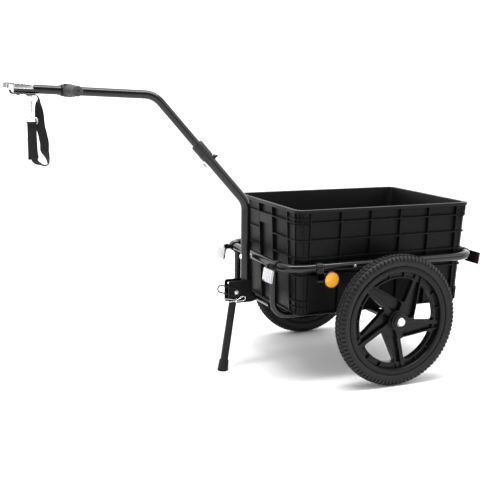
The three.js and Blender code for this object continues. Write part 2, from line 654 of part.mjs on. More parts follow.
function makeDrawbar() {
  const collarLow = COLLAR_DISTANCE - COLLAR_LENGTH / 2;
  const boltLine = [-1, 1].map((end) => onRise(COLLAR_BOLT_DISTANCE)
    .addScaledVector(RISE_NORMAL, end * (DRAWBAR_RADIUS + WING_HEIGHT + OVERRUN)));
  const boltHole = rod(...boltLine, COLLAR_BOLT_RADIUS + CLEARANCE);
  const hoopBoltHole = rod(vector(DRAWBAR_LINE - DRAWBAR_RADIUS - OVERRUN, 0, HOOP_HEIGHT),
    vector(0, 0, HOOP_HEIGHT),
    HOOP_BOLT_RADIUS + CLEARANCE);
  const lower = bentTube([
    { at: vector(DRAWBAR_LINE, 0, DRAWBAR_FOOT_HEIGHT) },
    { at: KNEE, bend: DRAWBAR_KNEE_RADIUS },
    { at: onRise(COLLAR_DISTANCE) },
  ], DRAWBAR_RADIUS, DRAWBAR_RADIUS - DRAWBAR_WALL, TUBE_SIDES, TUBE_SIDES);
  piece("drawbar_lower", cut(lower, boltHole, hoopBoltHole), BLACK_PAINT);
  const upper = bentTube([
    { at: onRise(COLLAR_DISTANCE - TELESCOPE_OVERLAP) },
    { at: NECK, bend: DRAWBAR_NECK_RADIUS },
    { at: TIP },
  ], UPPER_TUBE_RADIUS, UPPER_TUBE_RADIUS - UPPER_WALL);
  piece("drawbar_upper", cut(upper, boltHole, ...[0, 1].map(couplingBoltHole)), BLACK_PAINT);
  const collarEnds = [collarLow, collarLow + COLLAR_LENGTH].map(onRise);
  const collar = rod(...collarEnds, COLLAR_RADIUS, 0, TUBE_SIDES);
  const lowerSpace = rod(onRise(collarLow - OVERRUN), onRise(COLLAR_DISTANCE + CLEARANCE),
    DRAWBAR_RADIUS + CLEARANCE, 0,
    TUBE_SIDES);
  const upperSpace = rod(onRise(collarLow - OVERRUN), onRise(collarLow + COLLAR_LENGTH + OVERRUN),
    UPPER_TUBE_RADIUS + CLEARANCE, 0, TUBE_SIDES);
  piece("drawbar_collar", cut(collar, lowerSpace, upperSpace), BLACK_PLASTIC);

  const boltStart = onRise(COLLAR_BOLT_DISTANCE);
  const along = (distance) => boltStart.clone().addScaledVector(RISE_NORMAL, distance);
  const headFace = DRAWBAR_RADIUS + CLEARANCE;
  piece("collar_bolt", join(
    rod(along(-headFace - CLEARANCE), along(headFace + WING_HEIGHT), COLLAR_BOLT_RADIUS),
    rod(along(-headFace), along(-headFace - WING_HEIGHT / 2), COLLAR_BOLT_RADIUS * COLLAR_BOLT_HEAD_SHARE, 0,
      HEX_SIDES),
  ), ZINC);
  const wingLow = along(headFace);
  const wing = join(
    rod(wingLow, along(headFace + WING_HEIGHT / 2), COLLAR_BOLT_RADIUS * WING_HUB_SHARE),
    block([-WING_SPAN / 2, -WING_THICKNESS / 2, 0], [WING_SPAN / 2, WING_THICKNESS / 2, WING_HEIGHT])
      .applyMatrix4(new THREE.Matrix4().makeBasis(vector(0, 1, 0), RISE, RISE_NORMAL).setPosition(wingLow)),
  );
  piece("collar_wing_nut", cut(wing, rod(along(0), along(headFace + WING_HEIGHT * 2),
    COLLAR_BOLT_RADIUS + CLEARANCE)),
    BLACK_PLASTIC);
  const boltHead = DRAWBAR_LINE - DRAWBAR_RADIUS - CLEARANCE;
  const boltEnd = -HOOP_REACH + HOOP_TUBE_RADIUS + CLEARANCE + HOOP_BOLT_RADIUS;
  piece("hoop_bolt", join(
    rod(vector(boltHead - CLEARANCE, 0, HOOP_HEIGHT), vector(boltEnd, 0, HOOP_HEIGHT), HOOP_BOLT_RADIUS),
    rod(vector(boltHead - HOOP_BOLT_RADIUS, 0, HOOP_HEIGHT), vector(boltHead, 0, HOOP_HEIGHT),
      2 * HOOP_BOLT_RADIUS),
    rod(vector(DRAWBAR_LINE + DRAWBAR_RADIUS + CLEARANCE, 0, HOOP_HEIGHT),
      vector(-HOOP_REACH - HOOP_TUBE_RADIUS - CLEARANCE, 0, HOOP_HEIGHT), 2 * HOOP_BOLT_RADIUS),
  ), ZINC);
}

/** The T handle, clamped on the drawbar ahead of its neck. */
function makeHandle() {
  const group = new THREE.Group();
  group.position.copy(NECK).addScaledVector(LEVEL, HANDLE_DISTANCE - DRAWBAR_NECK_REACH);
  group.rotation.y = DRAWBAR_TIP_SLOPE;
  root.add(group);
  const half = HANDLE_SLEEVE_LENGTH / 2;
  const crossbar = join(
    rod(vector(-half, 0, 0), vector(half, 0, 0), HANDLE_SLEEVE_RADIUS, 0, TUBE_SIDES),
    rod(vector(0, -HANDLE_HALF_LENGTH, 0), vector(0, HANDLE_HALF_LENGTH, 0), HANDLE_BAR_RADIUS, 0,
      ROUND_SIDES),
  );
  piece("handle_bar", cut(crossbar, rod(vector(-half - OVERRUN, 0, 0), vector(half + OVERRUN, 0, 0),
    UPPER_TUBE_RADIUS + CLEARANCE,
    0, TUBE_SIDES)), BLACK_PAINT, group);
  const end = HANDLE_HALF_LENGTH + CLEARANCE;
  const profile = [
    [0, end], [HANDLE_BAR_RADIUS + CLEARANCE, end],
    [HANDLE_BAR_RADIUS + CLEARANCE, end + GRIP_END - GRIP_LENGTH], [GRIP_FLANGE_RADIUS,
      end + GRIP_END - GRIP_LENGTH],
    [GRIP_FLANGE_RADIUS, end + GRIP_END - GRIP_LENGTH + GRIP_FLANGE_THICKNESS],
    [GRIP_RADIUS, end + GRIP_END - GRIP_LENGTH + 2 * GRIP_FLANGE_THICKNESS],
    [GRIP_RADIUS, end + GRIP_END / 2], [GRIP_RADIUS - GRIP_END / 2, end + GRIP_END], [0, end + GRIP_END],
  ];
  for (const [name, side] of [["left", -1], ["right", 1]]) {
    const grip = piece(`${name}_handle_grip`, turned(profile, ROUND_SIDES), GRIP_RUBBER, group);
    grip.rotation.z = side < 0 ? Math.PI : 0;
  }
}

// The coupling's own axes: origin on the tube's centre line at the tip, +X back along the tube
const couplingBoltPlace = (number) => COUPLING_FRONT_BOLT + number * COUPLING_BOLT_SPACING;
const couplingTurn = new THREE.Matrix4().makeRotationY(DRAWBAR_TIP_SLOPE).setPosition(TIP);

/** The upright hole for one of the coupling's two bolts, where the whole trailer's axes hold. */
function couplingBoltHole(number) {
  const x = couplingBoltPlace(number);
  const reach = UPPER_TUBE_RADIUS + OVERRUN;
  return rod(vector(x, 0, -reach), vector(x, 0, reach),
    COUPLING_BOLT_RADIUS + CLEARANCE).applyMatrix4(couplingTurn);
}

const STACK_TOP = -UPPER_TUBE_RADIUS - CLEARANCE;
const STRAP_SEAT = STACK_TOP - TONGUE_THICKNESS - CLEARANCE;
const LUG_SEAT = STRAP_SEAT - STRAP_THICKNESS - CLEARANCE;
const LUG_HOLE = LUG_SEAT - LUG_DROP;

function makeCoupling() {
  const group = new THREE.Group();
  group.applyMatrix4(couplingTurn);
  root.add(group);
  const bore = (number, low, high) => rod(vector(couplingBoltPlace(number), 0, low),
    vector(couplingBoltPlace(number), 0, high),
    COUPLING_BOLT_RADIUS + CLEARANCE);
  const top = UPPER_TUBE_RADIUS + CLEARANCE + COUPLING_PLATE;
  const inner = UPPER_TUBE_RADIUS + CLEARANCE;
  const [front, back] = [-COUPLING_OVERHANG, COUPLING_LENGTH - COUPLING_OVERHANG];
  const outline = new THREE.Shape();
  const halfWidth = inner + COUPLING_PLATE;
  outline.moveTo(-halfWidth, top - COUPLING_SKIRT);
  outline.lineTo(-inner, top - COUPLING_SKIRT);
  outline.lineTo(-inner, top - COUPLING_PLATE);
  outline.lineTo(inner, top - COUPLING_PLATE);
  outline.lineTo(inner, top - COUPLING_SKIRT);
  outline.lineTo(halfWidth, top - COUPLING_SKIRT);
  outline.lineTo(halfWidth, top - COUPLING_PLATE);
  outline.lineTo(halfWidth - COUPLING_PLATE, top);
  outline.lineTo(-halfWidth + COUPLING_PLATE, top);
  outline.lineTo(-halfWidth, top - COUPLING_PLATE);
  const saddle = plateYZ(outline, back, back / 2);
  const nose = new THREE.Shape();
  nose.moveTo(OVERRUN, -halfWidth + COUPLING_PLATE);
  nose.lineTo(OVERRUN, halfWidth - COUPLING_PLATE);
  nose.lineTo(front + halfWidth - COUPLING_PLATE, halfWidth - COUPLING_PLATE);
  nose.absarc(front + halfWidth - COUPLING_PLATE, 0, halfWidth - COUPLING_PLATE, Math.PI / 2, 1.5 * Math.PI);
  const nosePlate = extruded(nose, COUPLING_PLATE).translate(0, 0, top - COUPLING_PLATE);
  const eyePlace = front + halfWidth - COUPLING_PLATE;
  const boss = rod(vector(eyePlace, 0, top - COUPLING_SKIRT), vector(eyePlace, 0, top),
    2 * COUPLING_EYE_RADIUS);
  const eye = rod(vector(eyePlace, 0, -top), vector(eyePlace, 0, top + OVERRUN), COUPLING_EYE_RADIUS);
  piece("coupling_head", cut(join(saddle, nosePlate, boss), eye, bore(0, 0, top + OVERRUN), bore(1, 0,
    top + OVERRUN)), ZINC, group);

  const tongueBottom = STACK_TOP - TONGUE_THICKNESS;
  const profile = new THREE.Shape();
  const tail = couplingBoltPlace(1) + TONGUE_TAIL;
  profile.moveTo(tail, tongueBottom);
  profile.lineTo(tail, STACK_TOP);
  profile.lineTo(0, STACK_TOP);
  profile.lineTo(-TONGUE_NOSE / 2, STACK_TOP + TONGUE_THICKNESS / 2);
  profile.lineTo(-TONGUE_NOSE, STACK_TOP + TONGUE_NOSE);
  profile.lineTo(-TONGUE_NOSE - TONGUE_THICKNESS, STACK_TOP + TONGUE_NOSE);
  profile.lineTo(-TONGUE_NOSE, STACK_TOP - TONGUE_THICKNESS / 2);
  profile.lineTo(-TONGUE_NOSE / 2, tongueBottom);
  const tongue = plateXZ(profile, TONGUE_WIDTH);
  piece("coupling_tongue", cut(tongue, bore(0, -top * 2, 0), bore(1, -top * 2, 0)), BLACK_PAINT, group);

  const ends = [tongueBottom - BOLT_END, LUG_SEAT - LUG_BASE - REAR_BOLT_END];
  for (const [number, name] of [[0, "front"], [1, "rear"]]) {
    const x = couplingBoltPlace(number);
    const headLow = top + CLEARANCE;
    piece(`coupling_${name}_bolt`, join(
      rod(vector(x, 0, ends[number]), vector(x, 0, headLow + CLEARANCE), COUPLING_BOLT_RADIUS),
      rod(vector(x, 0, headLow), vector(x, 0, headLow + BOLT_HEAD_HEIGHT), BOLT_HEAD_RADIUS, 0, HEX_SIDES),
    ), STEEL, group);
  }
  const lugX = couplingBoltPlace(1) + COUPLING_BOLT_RADIUS + CLEARANCE + LUG_THICKNESS;
  const lugLow = couplingBoltPlace(1) - LUG_WIDTH / 2;
  const half = LUG_WIDTH / 2;
  const holeRadius = RING_WIRE * Math.SQRT1_2 + CLEARANCE;
  const eyeRadius = holeRadius + LUG_RIM;
  const eyeShape = new THREE.Shape();
  eyeShape.moveTo(-eyeRadius, LUG_SEAT);
  eyeShape.lineTo(-eyeRadius, LUG_HOLE);
  eyeShape.absarc(0, LUG_HOLE, eyeRadius, Math.PI, 2 * Math.PI);
  eyeShape.lineTo(eyeRadius, LUG_SEAT);
  const lug = join(
    block([lugLow, -half, LUG_SEAT - LUG_BASE], [lugX, half, LUG_SEAT]),
    plateYZ(eyeShape, LUG_THICKNESS, lugX),
  );
  const ringHole = rod(vector(lugX - OVERRUN, 0, LUG_HOLE), vector(lugX + OVERRUN, 0, LUG_HOLE), holeRadius);
  piece("strap_lug", cut(lug, bore(1, LUG_SEAT - OVERRUN, LUG_SEAT + OVERRUN), ringHole), ZINC, group);
  return vector(lugX, 0, LUG_HOLE).applyMatrix4(couplingTurn);
}

/** The ring under the lug, the snap hook on it, and the webbing loop back to the drawbar. */
function makeSafetyStrap(lugHole) {
  const dee = (inset) => {
    const outline = new THREE.Shape();
    const reach = RING_WIDTH / 2 - inset;
    outline.absellipse(0, 0, reach, RING_HEIGHT - inset - RING_WIRE / 2, Math.PI, 2 * Math.PI, false);
    outline.lineTo(reach, RING_WIRE / 2 - inset);
    outline.lineTo(-reach, RING_WIRE / 2 - inset);
    return outline;
  };
  const outline = dee(0);
  outline.holes.push(dee(RING_WIRE));
  const ring = new THREE.ExtrudeGeometry(outline, { depth: RING_WIRE, bevelEnabled: false,
    curveSegments: BOLT_SIDES })
    .rotateX(Math.PI / 2).translate(0, RING_WIRE / 2, 0);
  piece("strap_ring", ring, ZINC).position.copy(lugHole);
  const wireTop = lugHole.z - RING_HEIGHT + 1.5 * RING_WIRE;

  const group = new THREE.Group();
  const bowInner = HOOK_OPENING / 2;
  const bowOuter = bowInner + HOOK_BAR;
  const bowCentre = -bowInner;
  group.position.set(lugHole.x, 0, wireTop + HOOK_PLAY);
  root.add(group);
  const baseTop = HOOK_BASE_HEIGHT - HOOK_LENGTH;
  const baseLow = -HOOK_LENGTH;
  const gateLow = baseTop + GATE_THICKNESS / 2;
  const hook = new THREE.Shape();
  hook.moveTo(-bowOuter, baseTop);
  hook.lineTo(-bowInner, baseLow);
  hook.lineTo(bowInner, baseLow);
  hook.lineTo(bowOuter, baseTop);
  hook.lineTo(-bowInner, baseTop);
  hook.lineTo(-bowInner, bowCentre);
  hook.absarc(0, bowCentre, bowInner, Math.PI, 0, true);
  hook.lineTo(bowInner, gateLow + GATE_LENGTH + CLEARANCE);
  hook.lineTo(bowOuter, gateLow + GATE_LENGTH + CLEARANCE);
  hook.lineTo(bowOuter, bowCentre);
  hook.absarc(0, bowCentre, bowOuter, 0, Math.PI, false);
  const gateLine = bowInner + HOOK_BAR / 2;
  const cradle = rod(vector(-HOOK_BAR, gateLine, gateLow), vector(HOOK_BAR, gateLine, gateLow),
    GATE_THICKNESS / 2 + CLEARANCE);
  const post = rod(vector(0, 0, baseLow - OVERRUN), vector(0, 0, baseLow + HOOK_BASE_HEIGHT / 2),
    SWIVEL_POST_RADIUS + CLEARANCE);
  piece("hook_body", cut(plateYZ(hook, HOOK_THICKNESS), cradle, post), ZINC, group);

  const gate = new THREE.Shape();
  const halfGate = GATE_THICKNESS / 2;
  gate.moveTo(halfGate, 0);
  gate.lineTo(halfGate, GATE_LENGTH);
  gate.lineTo(-halfGate, GATE_LENGTH);
  gate.lineTo(-halfGate, 0);
  gate.absarc(0, 0, halfGate, Math.PI, 2 * Math.PI);
  piece("hook_gate", plateYZ(gate, HOOK_THICKNESS), STEEL, group).position.set(0, gateLine, gateLow);

  const loopTop = baseLow - CLEARANCE;
  const frame = roundedRectangle(LOOP_WIDTH, LOOP_HEIGHT, LOOP_BAR);
  frame.holes.push(roundedRectangle(LOOP_WIDTH - 2 * LOOP_BAR, LOOP_HEIGHT - 2 * LOOP_BAR, LOOP_BAR / 2));
  const loop = plateXZ(frame, LOOP_BAR).translate(0, 0, loopTop - LOOP_HEIGHT / 2);
  const swivelPost = rod(vector(0, 0, loopTop - LOOP_BAR), vector(0, 0, loopTop + HOOK_BASE_HEIGHT / 2),
    SWIVEL_POST_RADIUS);
  piece("hook_swivel", join(loop, swivelPost), ZINC, group);

  const barHeight = group.position.z + loopTop - LOOP_HEIGHT + LOOP_BAR / 2;
  makeStrap(vector(lugHole.x, 0, barHeight));
}

/** A flat ribbon through stations, each with its middle and the direction of its width. */
function ribbon(stations, width, thickness) {
  const corners = [];
  stations.forEach(({ at, across }, i) => {
    const before = stations[Math.max(i - 1, 0)].at;
    const after = stations[Math.min(i + 1, stations.length - 1)].at;
    const along = after.clone().sub(before).normalize();
    const side = across.clone().addScaledVector(along, -across.dot(along)).normalize();
    const face = along.clone().cross(side);
    for (const [w, t] of [[-1, -1], [1, -1], [1, 1], [-1, 1]]) {
      corners.push(at.clone().addScaledVector(side, w * width / 2).addScaledVector(face, t * thickness / 2));
    }
  });
  const index = [];
  const last = corners.length - 4;
  for (let i = 0; i < last; i += 4) {
    for (let side = 0; side < 4; side++) {
      const [a, b] = [i + side, i + (side + 1) % 4];
      index.push(a, b, b + 4, a, b + 4, a + 4);
    }
  }
  index.push(0, 2, 1, 0, 3, 2, last, last + 1, last + 2, last, last + 2, last + 3);
  const geometry = new THREE.BufferGeometry().setFromPoints(corners);
  geometry.setIndex(index);
  geometry.computeVertexNormals();
  return geometry;
}

/** The webbing: sewn round the loop's lower bar, down to a fold, and up again to its seat under the drawbar. */
function makeStrap(bar) {
  const wrap = LOOP_BAR * Math.SQRT1_2 + CLEARANCE + STRAP_THICKNESS;
  const layer = STRAP_THICKNESS / 2 + CLEARANCE;
  const stations = [];
  const add = (at, turn) => stations.push({ at, across: vector(Math.cos(turn), Math.sin(turn), 0) });
  const drop = (share) => bar.z - share * STRAP_DROP;
  add(vector(bar.x, layer, drop(SEWN_SHARE)), 0);
  add(vector(bar.x, layer, bar.z - 2 * wrap), 0);
  for (let step = 0; step <= 2 * BEND_STEPS; step++) {
    const angle = Math.PI * step / (2 * BEND_STEPS);
    add(vector(bar.x, wrap * Math.cos(angle), bar.z + wrap * Math.sin(angle)), 0);
  }
  add(vector(bar.x, -layer, bar.z - 2 * wrap), 0);
  // Shares of the strap's reach rearwards, of its drop and of its sway, and how far its width has turned
  const wayShares = [[0, 0.55, -0.3, 0], [0.04, 0.72, -0.6, 6], [0.16, 0.86, -0.9, 32], [0.42, 0.935, -0.5, 64],
    [0.75, 0.985, 0, 72], [1, 0.965, 0.3, 70], [1.03, 0.86, 0.6, 62], [0.95, 0.74, 0.8, 42], [0.83, 0.62, 0.9, 10],
    [0.83, 0.47, 1, 4], [0.72, 0.25, 1, 0], [0.62, 0.1, 1, -4], [0.57, -0.06, 1, -8], [0.54, -0.24, 0.9, -25],
    [0.49, -0.44, 0.5, -58]];
  for (const [back, down, sway, turn] of wayShares) {
    const at = vector(bar.x + back * STRAP_REACH, sway * STRAP_SWAY - layer, drop(down));
    add(at, THREE.MathUtils.degToRad(turn));
  }
  const seatHeight = STRAP_SEAT - STRAP_THICKNESS / 2;
  const seatEnd = couplingBoltPlace(1) - LUG_WIDTH / 2;
  const seatStart = couplingBoltPlace(1) + TONGUE_TAIL;
  const seated = (x, z) => vector(x, 0, z).applyMatrix4(couplingTurn);
  add(seated(seatStart + 2 * wrap, seatHeight - 2 * wrap), -Math.PI / 2);
  add(seated(seatStart + wrap, seatHeight - wrap / 4), -Math.PI / 2);
  add(seated(seatStart, seatHeight), -Math.PI / 2);
  add(seated(seatEnd, seatHeight), -Math.PI / 2);
  const strap = ribbon(stations, STRAP_WIDTH, STRAP_THICKNESS);
  const bolt = rod(vector(couplingBoltPlace(1), 0, LUG_SEAT), vector(couplingBoltPlace(1), 0, 0),
    COUPLING_BOLT_RADIUS + CLEARANCE);
  piece("safety_strap", cut(strap, bolt.applyMatrix4(couplingTurn)), WEBBING);
}

/** The folding stand: its bracket, leg, foot, pivot and the pin that locks it. */
function makeStand() {
  const pivot = vector(DRAWBAR_LINE - PIVOT_REACH, 0, PIVOT_HEIGHT);
  const inner = DRAWBAR_RADIUS + CLEARANCE;
  const outer = inner + BRACKET_PLATE;
  const nose = DRAWBAR_LINE - BRACKET_NOSE;
  const back = DRAWBAR_LINE + DRAWBAR_RADIUS;
  const tabBack = -HOOP_REACH + LEG_TUBE_RADIUS / 2;
  const side = new THREE.Shape();
  side.moveTo(nose, BRACKET_BOTTOM);
  side.lineTo(back, BRACKET_BOTTOM);
  side.lineTo(tabBack, CROSS_TUBE_HEIGHT - LEG_TUBE_RADIUS);
  side.lineTo(tabBack, CROSS_TUBE_HEIGHT);
  side.lineTo(back, CROSS_TUBE_HEIGHT + LEG_TUBE_RADIUS * 2);
  side.lineTo(back, BRACKET_TOP);
  side.lineTo(nose, BRACKET_TOP);
  const across = (at, radius, reach = outer + OVERRUN) => rod(vector(at.x, -reach, at.z),
    vector(at.x, reach, at.z), radius, 0,
    ROUND_SIDES);
  const lockPlace = pivot.clone().addScaledVector(vector(-Math.sin(STAND_LEAN), 0, -Math.cos(STAND_LEAN)),
    LOCK_PIN_DISTANCE);
  const stowPlace = lockPlace.clone().sub(pivot).applyAxisAngle(vector(0, 1, 0), STOW_HOLE_TURN).add(pivot);
  const floorPlate = block([DRAWBAR_LINE, -outer, BRACKET_BOTTOM],
    [back, outer, BRACKET_BOTTOM + BRACKET_PLATE]);
  const bracket = cut(
    join(plateXZ(side, BRACKET_PLATE, -inner - BRACKET_PLATE / 2),
      plateXZ(side, BRACKET_PLATE, inner + BRACKET_PLATE / 2), floorPlate),
    across(pivot, PIVOT_RADIUS + CLEARANCE), across(lockPlace, LOCK_PIN_RADIUS + CLEARANCE),
    across(stowPlace, LOCK_PIN_RADIUS + CLEARANCE),
    rod(vector(-HOOP_REACH, -LEG_SPACING, CROSS_TUBE_HEIGHT), vector(-HOOP_REACH, LEG_SPACING,
      CROSS_TUBE_HEIGHT),
      LEG_TUBE_RADIUS + CLEARANCE, 0, TUBE_SIDES),
  );
  piece("stand_bracket", bracket, BLACK_PAINT);

  const group = new THREE.Group();
  group.position.copy(pivot);
  group.rotation.y = STAND_LEAN;
  root.add(group);
  const reach = pivot.z / Math.cos(STAND_LEAN);
  const footDrop = reach - STAND_FOOT_RADIUS * Math.tan(STAND_LEAN);
  const tubeEnd = footDrop - STAND_FOOT_SOLE - CLEARANCE;
  const tube = rod(vector(0, 0, STAND_HEAD), vector(0, 0, -tubeEnd), STAND_TUBE_RADIUS,
    STAND_TUBE_RADIUS - STAND_WALL, ROUND_SIDES);
  const pinNotchHeight = LOCK_PIN_RADIUS + CLEARANCE + CLEARANCE;
  const notchRise = LOCK_PIN_DISTANCE - Math.sqrt(LOCK_PIN_DISTANCE ** 2 - (STAND_TUBE_RADIUS + LOCK_PIN_RADIUS) ** 2);
  const leg = cut(tube,
    rod(vector(0, -outer, 0), vector(0, outer, 0), PIVOT_RADIUS + CLEARANCE, 0, ROUND_SIDES),
    rod(vector(0, -outer, -LOCK_PIN_DISTANCE), vector(0, outer, -LOCK_PIN_DISTANCE), pinNotchHeight, 0,
      ROUND_SIDES),
    block([0, -outer, -LOCK_PIN_DISTANCE - pinNotchHeight],
      [outer, outer, -LOCK_PIN_DISTANCE + pinNotchHeight + notchRise]));
  piece("stand_leg", leg, BLACK_PAINT, group);

  // The foot is a rubber cup cut flat where it stands on the floor
  const cup = turned([
    [0, -footDrop + STAND_FOOT_SOLE], [STAND_TUBE_RADIUS + CLEARANCE, -footDrop + STAND_FOOT_SOLE],
    [STAND_TUBE_RADIUS + CLEARANCE, -footDrop + STAND_FOOT_HEIGHT], [STAND_FOOT_RADIUS - STAND_FOOT_TAPER,
      -footDrop + STAND_FOOT_HEIGHT],
    [STAND_FOOT_RADIUS, -footDrop + STAND_FOOT_SOLE], [STAND_FOOT_RADIUS, -footDrop - OVERRUN], [0,
      -footDrop - OVERRUN],
  ].reverse(), ROUND_SIDES).rotateX(Math.PI / 2);
  const lift = new THREE.Matrix4().makeRotationY(STAND_LEAN).setPosition(pivot);
  const belowFloor = block([-TUB_LENGTH * 2, -TUB_WIDTH, -TUB_WIDTH],
    [TUB_LENGTH, TUB_WIDTH, 0]).applyMatrix4(lift.clone().invert());
  piece("stand_foot", cut(cup, belowFloor), RUBBER, group);

  const bolt = (name, material, from, to, radius, head, headSide, at) => {
    const shank = rod(vector(at.x, from, at.z), vector(at.x, to, at.z), radius, 0, ROUND_SIDES);
    const face = headSide * (outer + CLEARANCE);
    const cap = rod(vector(at.x, face, at.z), vector(at.x, face + headSide * head, at.z),
      radius * PIN_HEAD_SHARE);
    return piece(name, join(shank, cap), material);
  };
  const nutFace = outer + CLEARANCE;
  bolt("stand_pivot_bolt", ZINC, -nutFace - CLEARANCE, nutFace + PIVOT_BOLT_END, PIVOT_RADIUS, PIVOT_RADIUS,
    -1, pivot);
  const nut = rod(vector(pivot.x, nutFace, pivot.z), vector(pivot.x, nutFace + PIVOT_NUT_HEIGHT, pivot.z),
    PIVOT_NUT_RADIUS, 0,
    HEX_SIDES);
  piece("stand_pivot_nut", cut(nut, across(pivot, PIVOT_RADIUS + CLEARANCE, outer * 2)), ZINC);
  const pinEnd = -nutFace - LOCK_PIN_END;
  const pinShank = rod(vector(lockPlace.x, pinEnd, lockPlace.z), vector(lockPlace.x, nutFace + CLEARANCE,
    lockPlace.z),
    LOCK_PIN_RADIUS, 0, ROUND_SIDES);
  const pinHead = rod(vector(lockPlace.x, nutFace, lockPlace.z),
    vector(lockPlace.x, nutFace + LOCK_PIN_RADIUS, lockPlace.z),
    LOCK_PIN_RADIUS * 2);
  const clipLine = pinEnd + LOCK_PIN_END / 2;
  const clipHole = rod(vector(lockPlace.x - OVERRUN, clipLine, lockPlace.z), vector(lockPlace.x + OVERRUN,
    clipLine, lockPlace.z),
    CLIP_WIRE_RADIUS + CLEARANCE, 0, WIRE_SIDES);
  piece("stand_lock_pin", cut(join(pinShank, pinHead), clipHole), ZINC);

  // The spring clip: one leg through the pin, an eye behind it, and the other leg over the pin's end
  const eyeX = lockPlace.x + CLIP_LENGTH * CLIP_EYE_SHARE;
  const tipX = lockPlace.x - CLIP_LENGTH * CLIP_TIP_SHARE;
  const over = lockPlace.z + LOCK_PIN_RADIUS + CLIP_WIRE_RADIUS + CLEARANCE;
  const clipCorner = (x, z, bend) => ({ at: vector(x, clipLine, z), bend });
  const clip = bentTube([
    clipCorner(tipX, lockPlace.z, 0),
    clipCorner(eyeX, lockPlace.z, CLIP_EYE_RADIUS / 2),
    clipCorner(eyeX + CLIP_EYE_RADIUS * 2, lockPlace.z, CLIP_EYE_RADIUS * CLIP_TURN_SHARE),
    clipCorner(eyeX + CLIP_EYE_RADIUS * 2, over + CLIP_EYE_RADIUS * CLIP_RISE_SHARE,
      CLIP_EYE_RADIUS * CLIP_TURN_SHARE),
    clipCorner(eyeX - CLIP_EYE_RADIUS * CLIP_RETURN_SHARE, over + CLIP_EYE_RADIUS * CLIP_RISE_SHARE,
      CLIP_EYE_RADIUS / 2),
    clipCorner(lockPlace.x - CLIP_EYE_RADIUS, over, CLIP_EYE_RADIUS / 2),
    clipCorner(tipX, over + CLIP_EYE_RADIUS, 0),
  ], CLIP_WIRE_RADIUS, 0, WIRE_SIDES);
  piece("lock_pin_clip", clip, ZINC);

  // The pull ring hooks over the pivot bolt's head and lies against the bracket's left plate
  const ringLine = -outer - CLEARANCE - PULL_RING_WIRE_RADIUS;
  const ringShape = roundedRectangle(PULL_RING_LENGTH, PULL_RING_HEIGHT, PULL_RING_HEIGHT / 2);
  ringShape.holes.push(roundedRectangle(PULL_RING_LENGTH - 4 * PULL_RING_WIRE_RADIUS,
    PULL_RING_HEIGHT - 4 * PULL_RING_WIRE_RADIUS,
    PULL_RING_HEIGHT / 2 - 2 * PULL_RING_WIRE_RADIUS));
  const pullRing = plateXZ(ringShape, 2 * PULL_RING_WIRE_RADIUS, ringLine);
  const hang = pullRing.translate((PULL_RING_HEIGHT - PULL_RING_LENGTH) / 2, 0, 0).rotateY(PULL_RING_LIFT);
  piece("lock_pull_ring", hang, BLACK_PLASTIC).position.copy(pivot);
}

/** The lens of an end reflector seen from above, drawn out to a shallow crown, facing -X. */
function endLens() {
  const [half, edge] = [END_LENS_WIDTH / 2, LENS_THICKNESS];
  const plan = new THREE.Shape();
  plan.moveTo(0, -half);
  plan.lineTo(0, half);
  plan.lineTo(-edge, half);
  plan.lineTo(-edge - END_LENS_CROWN, half * END_LENS_FACET_SHARE);
  plan.lineTo(-edge - END_LENS_CROWN, -half * END_LENS_FACET_SHARE);
  plan.lineTo(-edge, -half);
  return new THREE.ExtrudeGeometry(plan, { depth: END_LENS_HEIGHT, bevelEnabled: false })
    .translate(0, 0, -END_LENS_HEIGHT / 2);
}

/** One end reflector: its housing hangs from an arm that a band holds to the hoop. */
function makeEndReflector(end, direction, standOff, drop, lensMaterial, name, side) {
  const hoopX = direction * HOOP_REACH;
  const backX = hoopX + direction * standOff;
  const y = side * END_LENS_PLACE;
  const height = HOOP_HEIGHT - drop;
  const place = new THREE.Matrix4().makeRotationY(END_LENS_TILT).setPosition(backX, y, height);
  const faceOut = direction > 0 ? Math.PI : 0;
  const lens = piece(`${end}_${name}_reflector_lens`, endLens().translate(-CLEARANCE, 0, 0).rotateZ(faceOut),
    lensMaterial);
  lens.position.set(backX, y, height);
  lens.rotation.y = END_LENS_TILT;
  const plate = new THREE.BoxGeometry(HOUSING_WALL, END_LENS_WIDTH, END_LENS_HEIGHT)
    .translate(-direction * HOUSING_WALL / 2, 0, 0).applyMatrix4(place);
  const clampY = side * (HOOP_HALF_WIDTH - HOOP_CORNER_RADIUS);
  const band = rod(vector(hoopX, clampY - CLAMP_WIDTH / 2, HOOP_HEIGHT),
    vector(hoopX, clampY + CLAMP_WIDTH / 2, HOOP_HEIGHT),
    BAND_RADIUS);
  const armTop = HOOP_HEIGHT + ARM_HEIGHT / 2;
  const armFar = backX + direction * HOUSING_WALL;
  const [x0, x1] = [hoopX + direction * HOOP_TUBE_RADIUS, armFar].sort((a, b) => a - b);
  const arm = block([x0, clampY - ARM_WIDTH / 2, armTop - ARM_HEIGHT], [x1, clampY + ARM_WIDTH / 2, armTop]);
  const hangBack = backX - direction * (2 * HOUSING_WALL + END_LENS_CROWN);
  const [h0, h1] = [hangBack, armFar].sort((a, b) => a - b);
  const hanger = block([h0, clampY - ARM_WIDTH / 2, height + END_LENS_HEIGHT / 4],
    [h1, clampY + ARM_WIDTH / 2, armTop]);
  const lensSpace = new THREE.BoxGeometry(HOOP_REACH, END_LENS_WIDTH + OVERRUN,
    END_LENS_HEIGHT + 2 * CLEARANCE)
    .translate(direction * HOOP_REACH / 2, 0, 0).applyMatrix4(place);
  const housing = cut(join(plate, cut(hanger, lensSpace), band, arm), lensSpace,
    hoopLoop(HOOP_TUBE_RADIUS + CLEARANCE));
  piece(`${end}_${name}_reflector_housing`, housing, BLACK_PLASTIC);
}

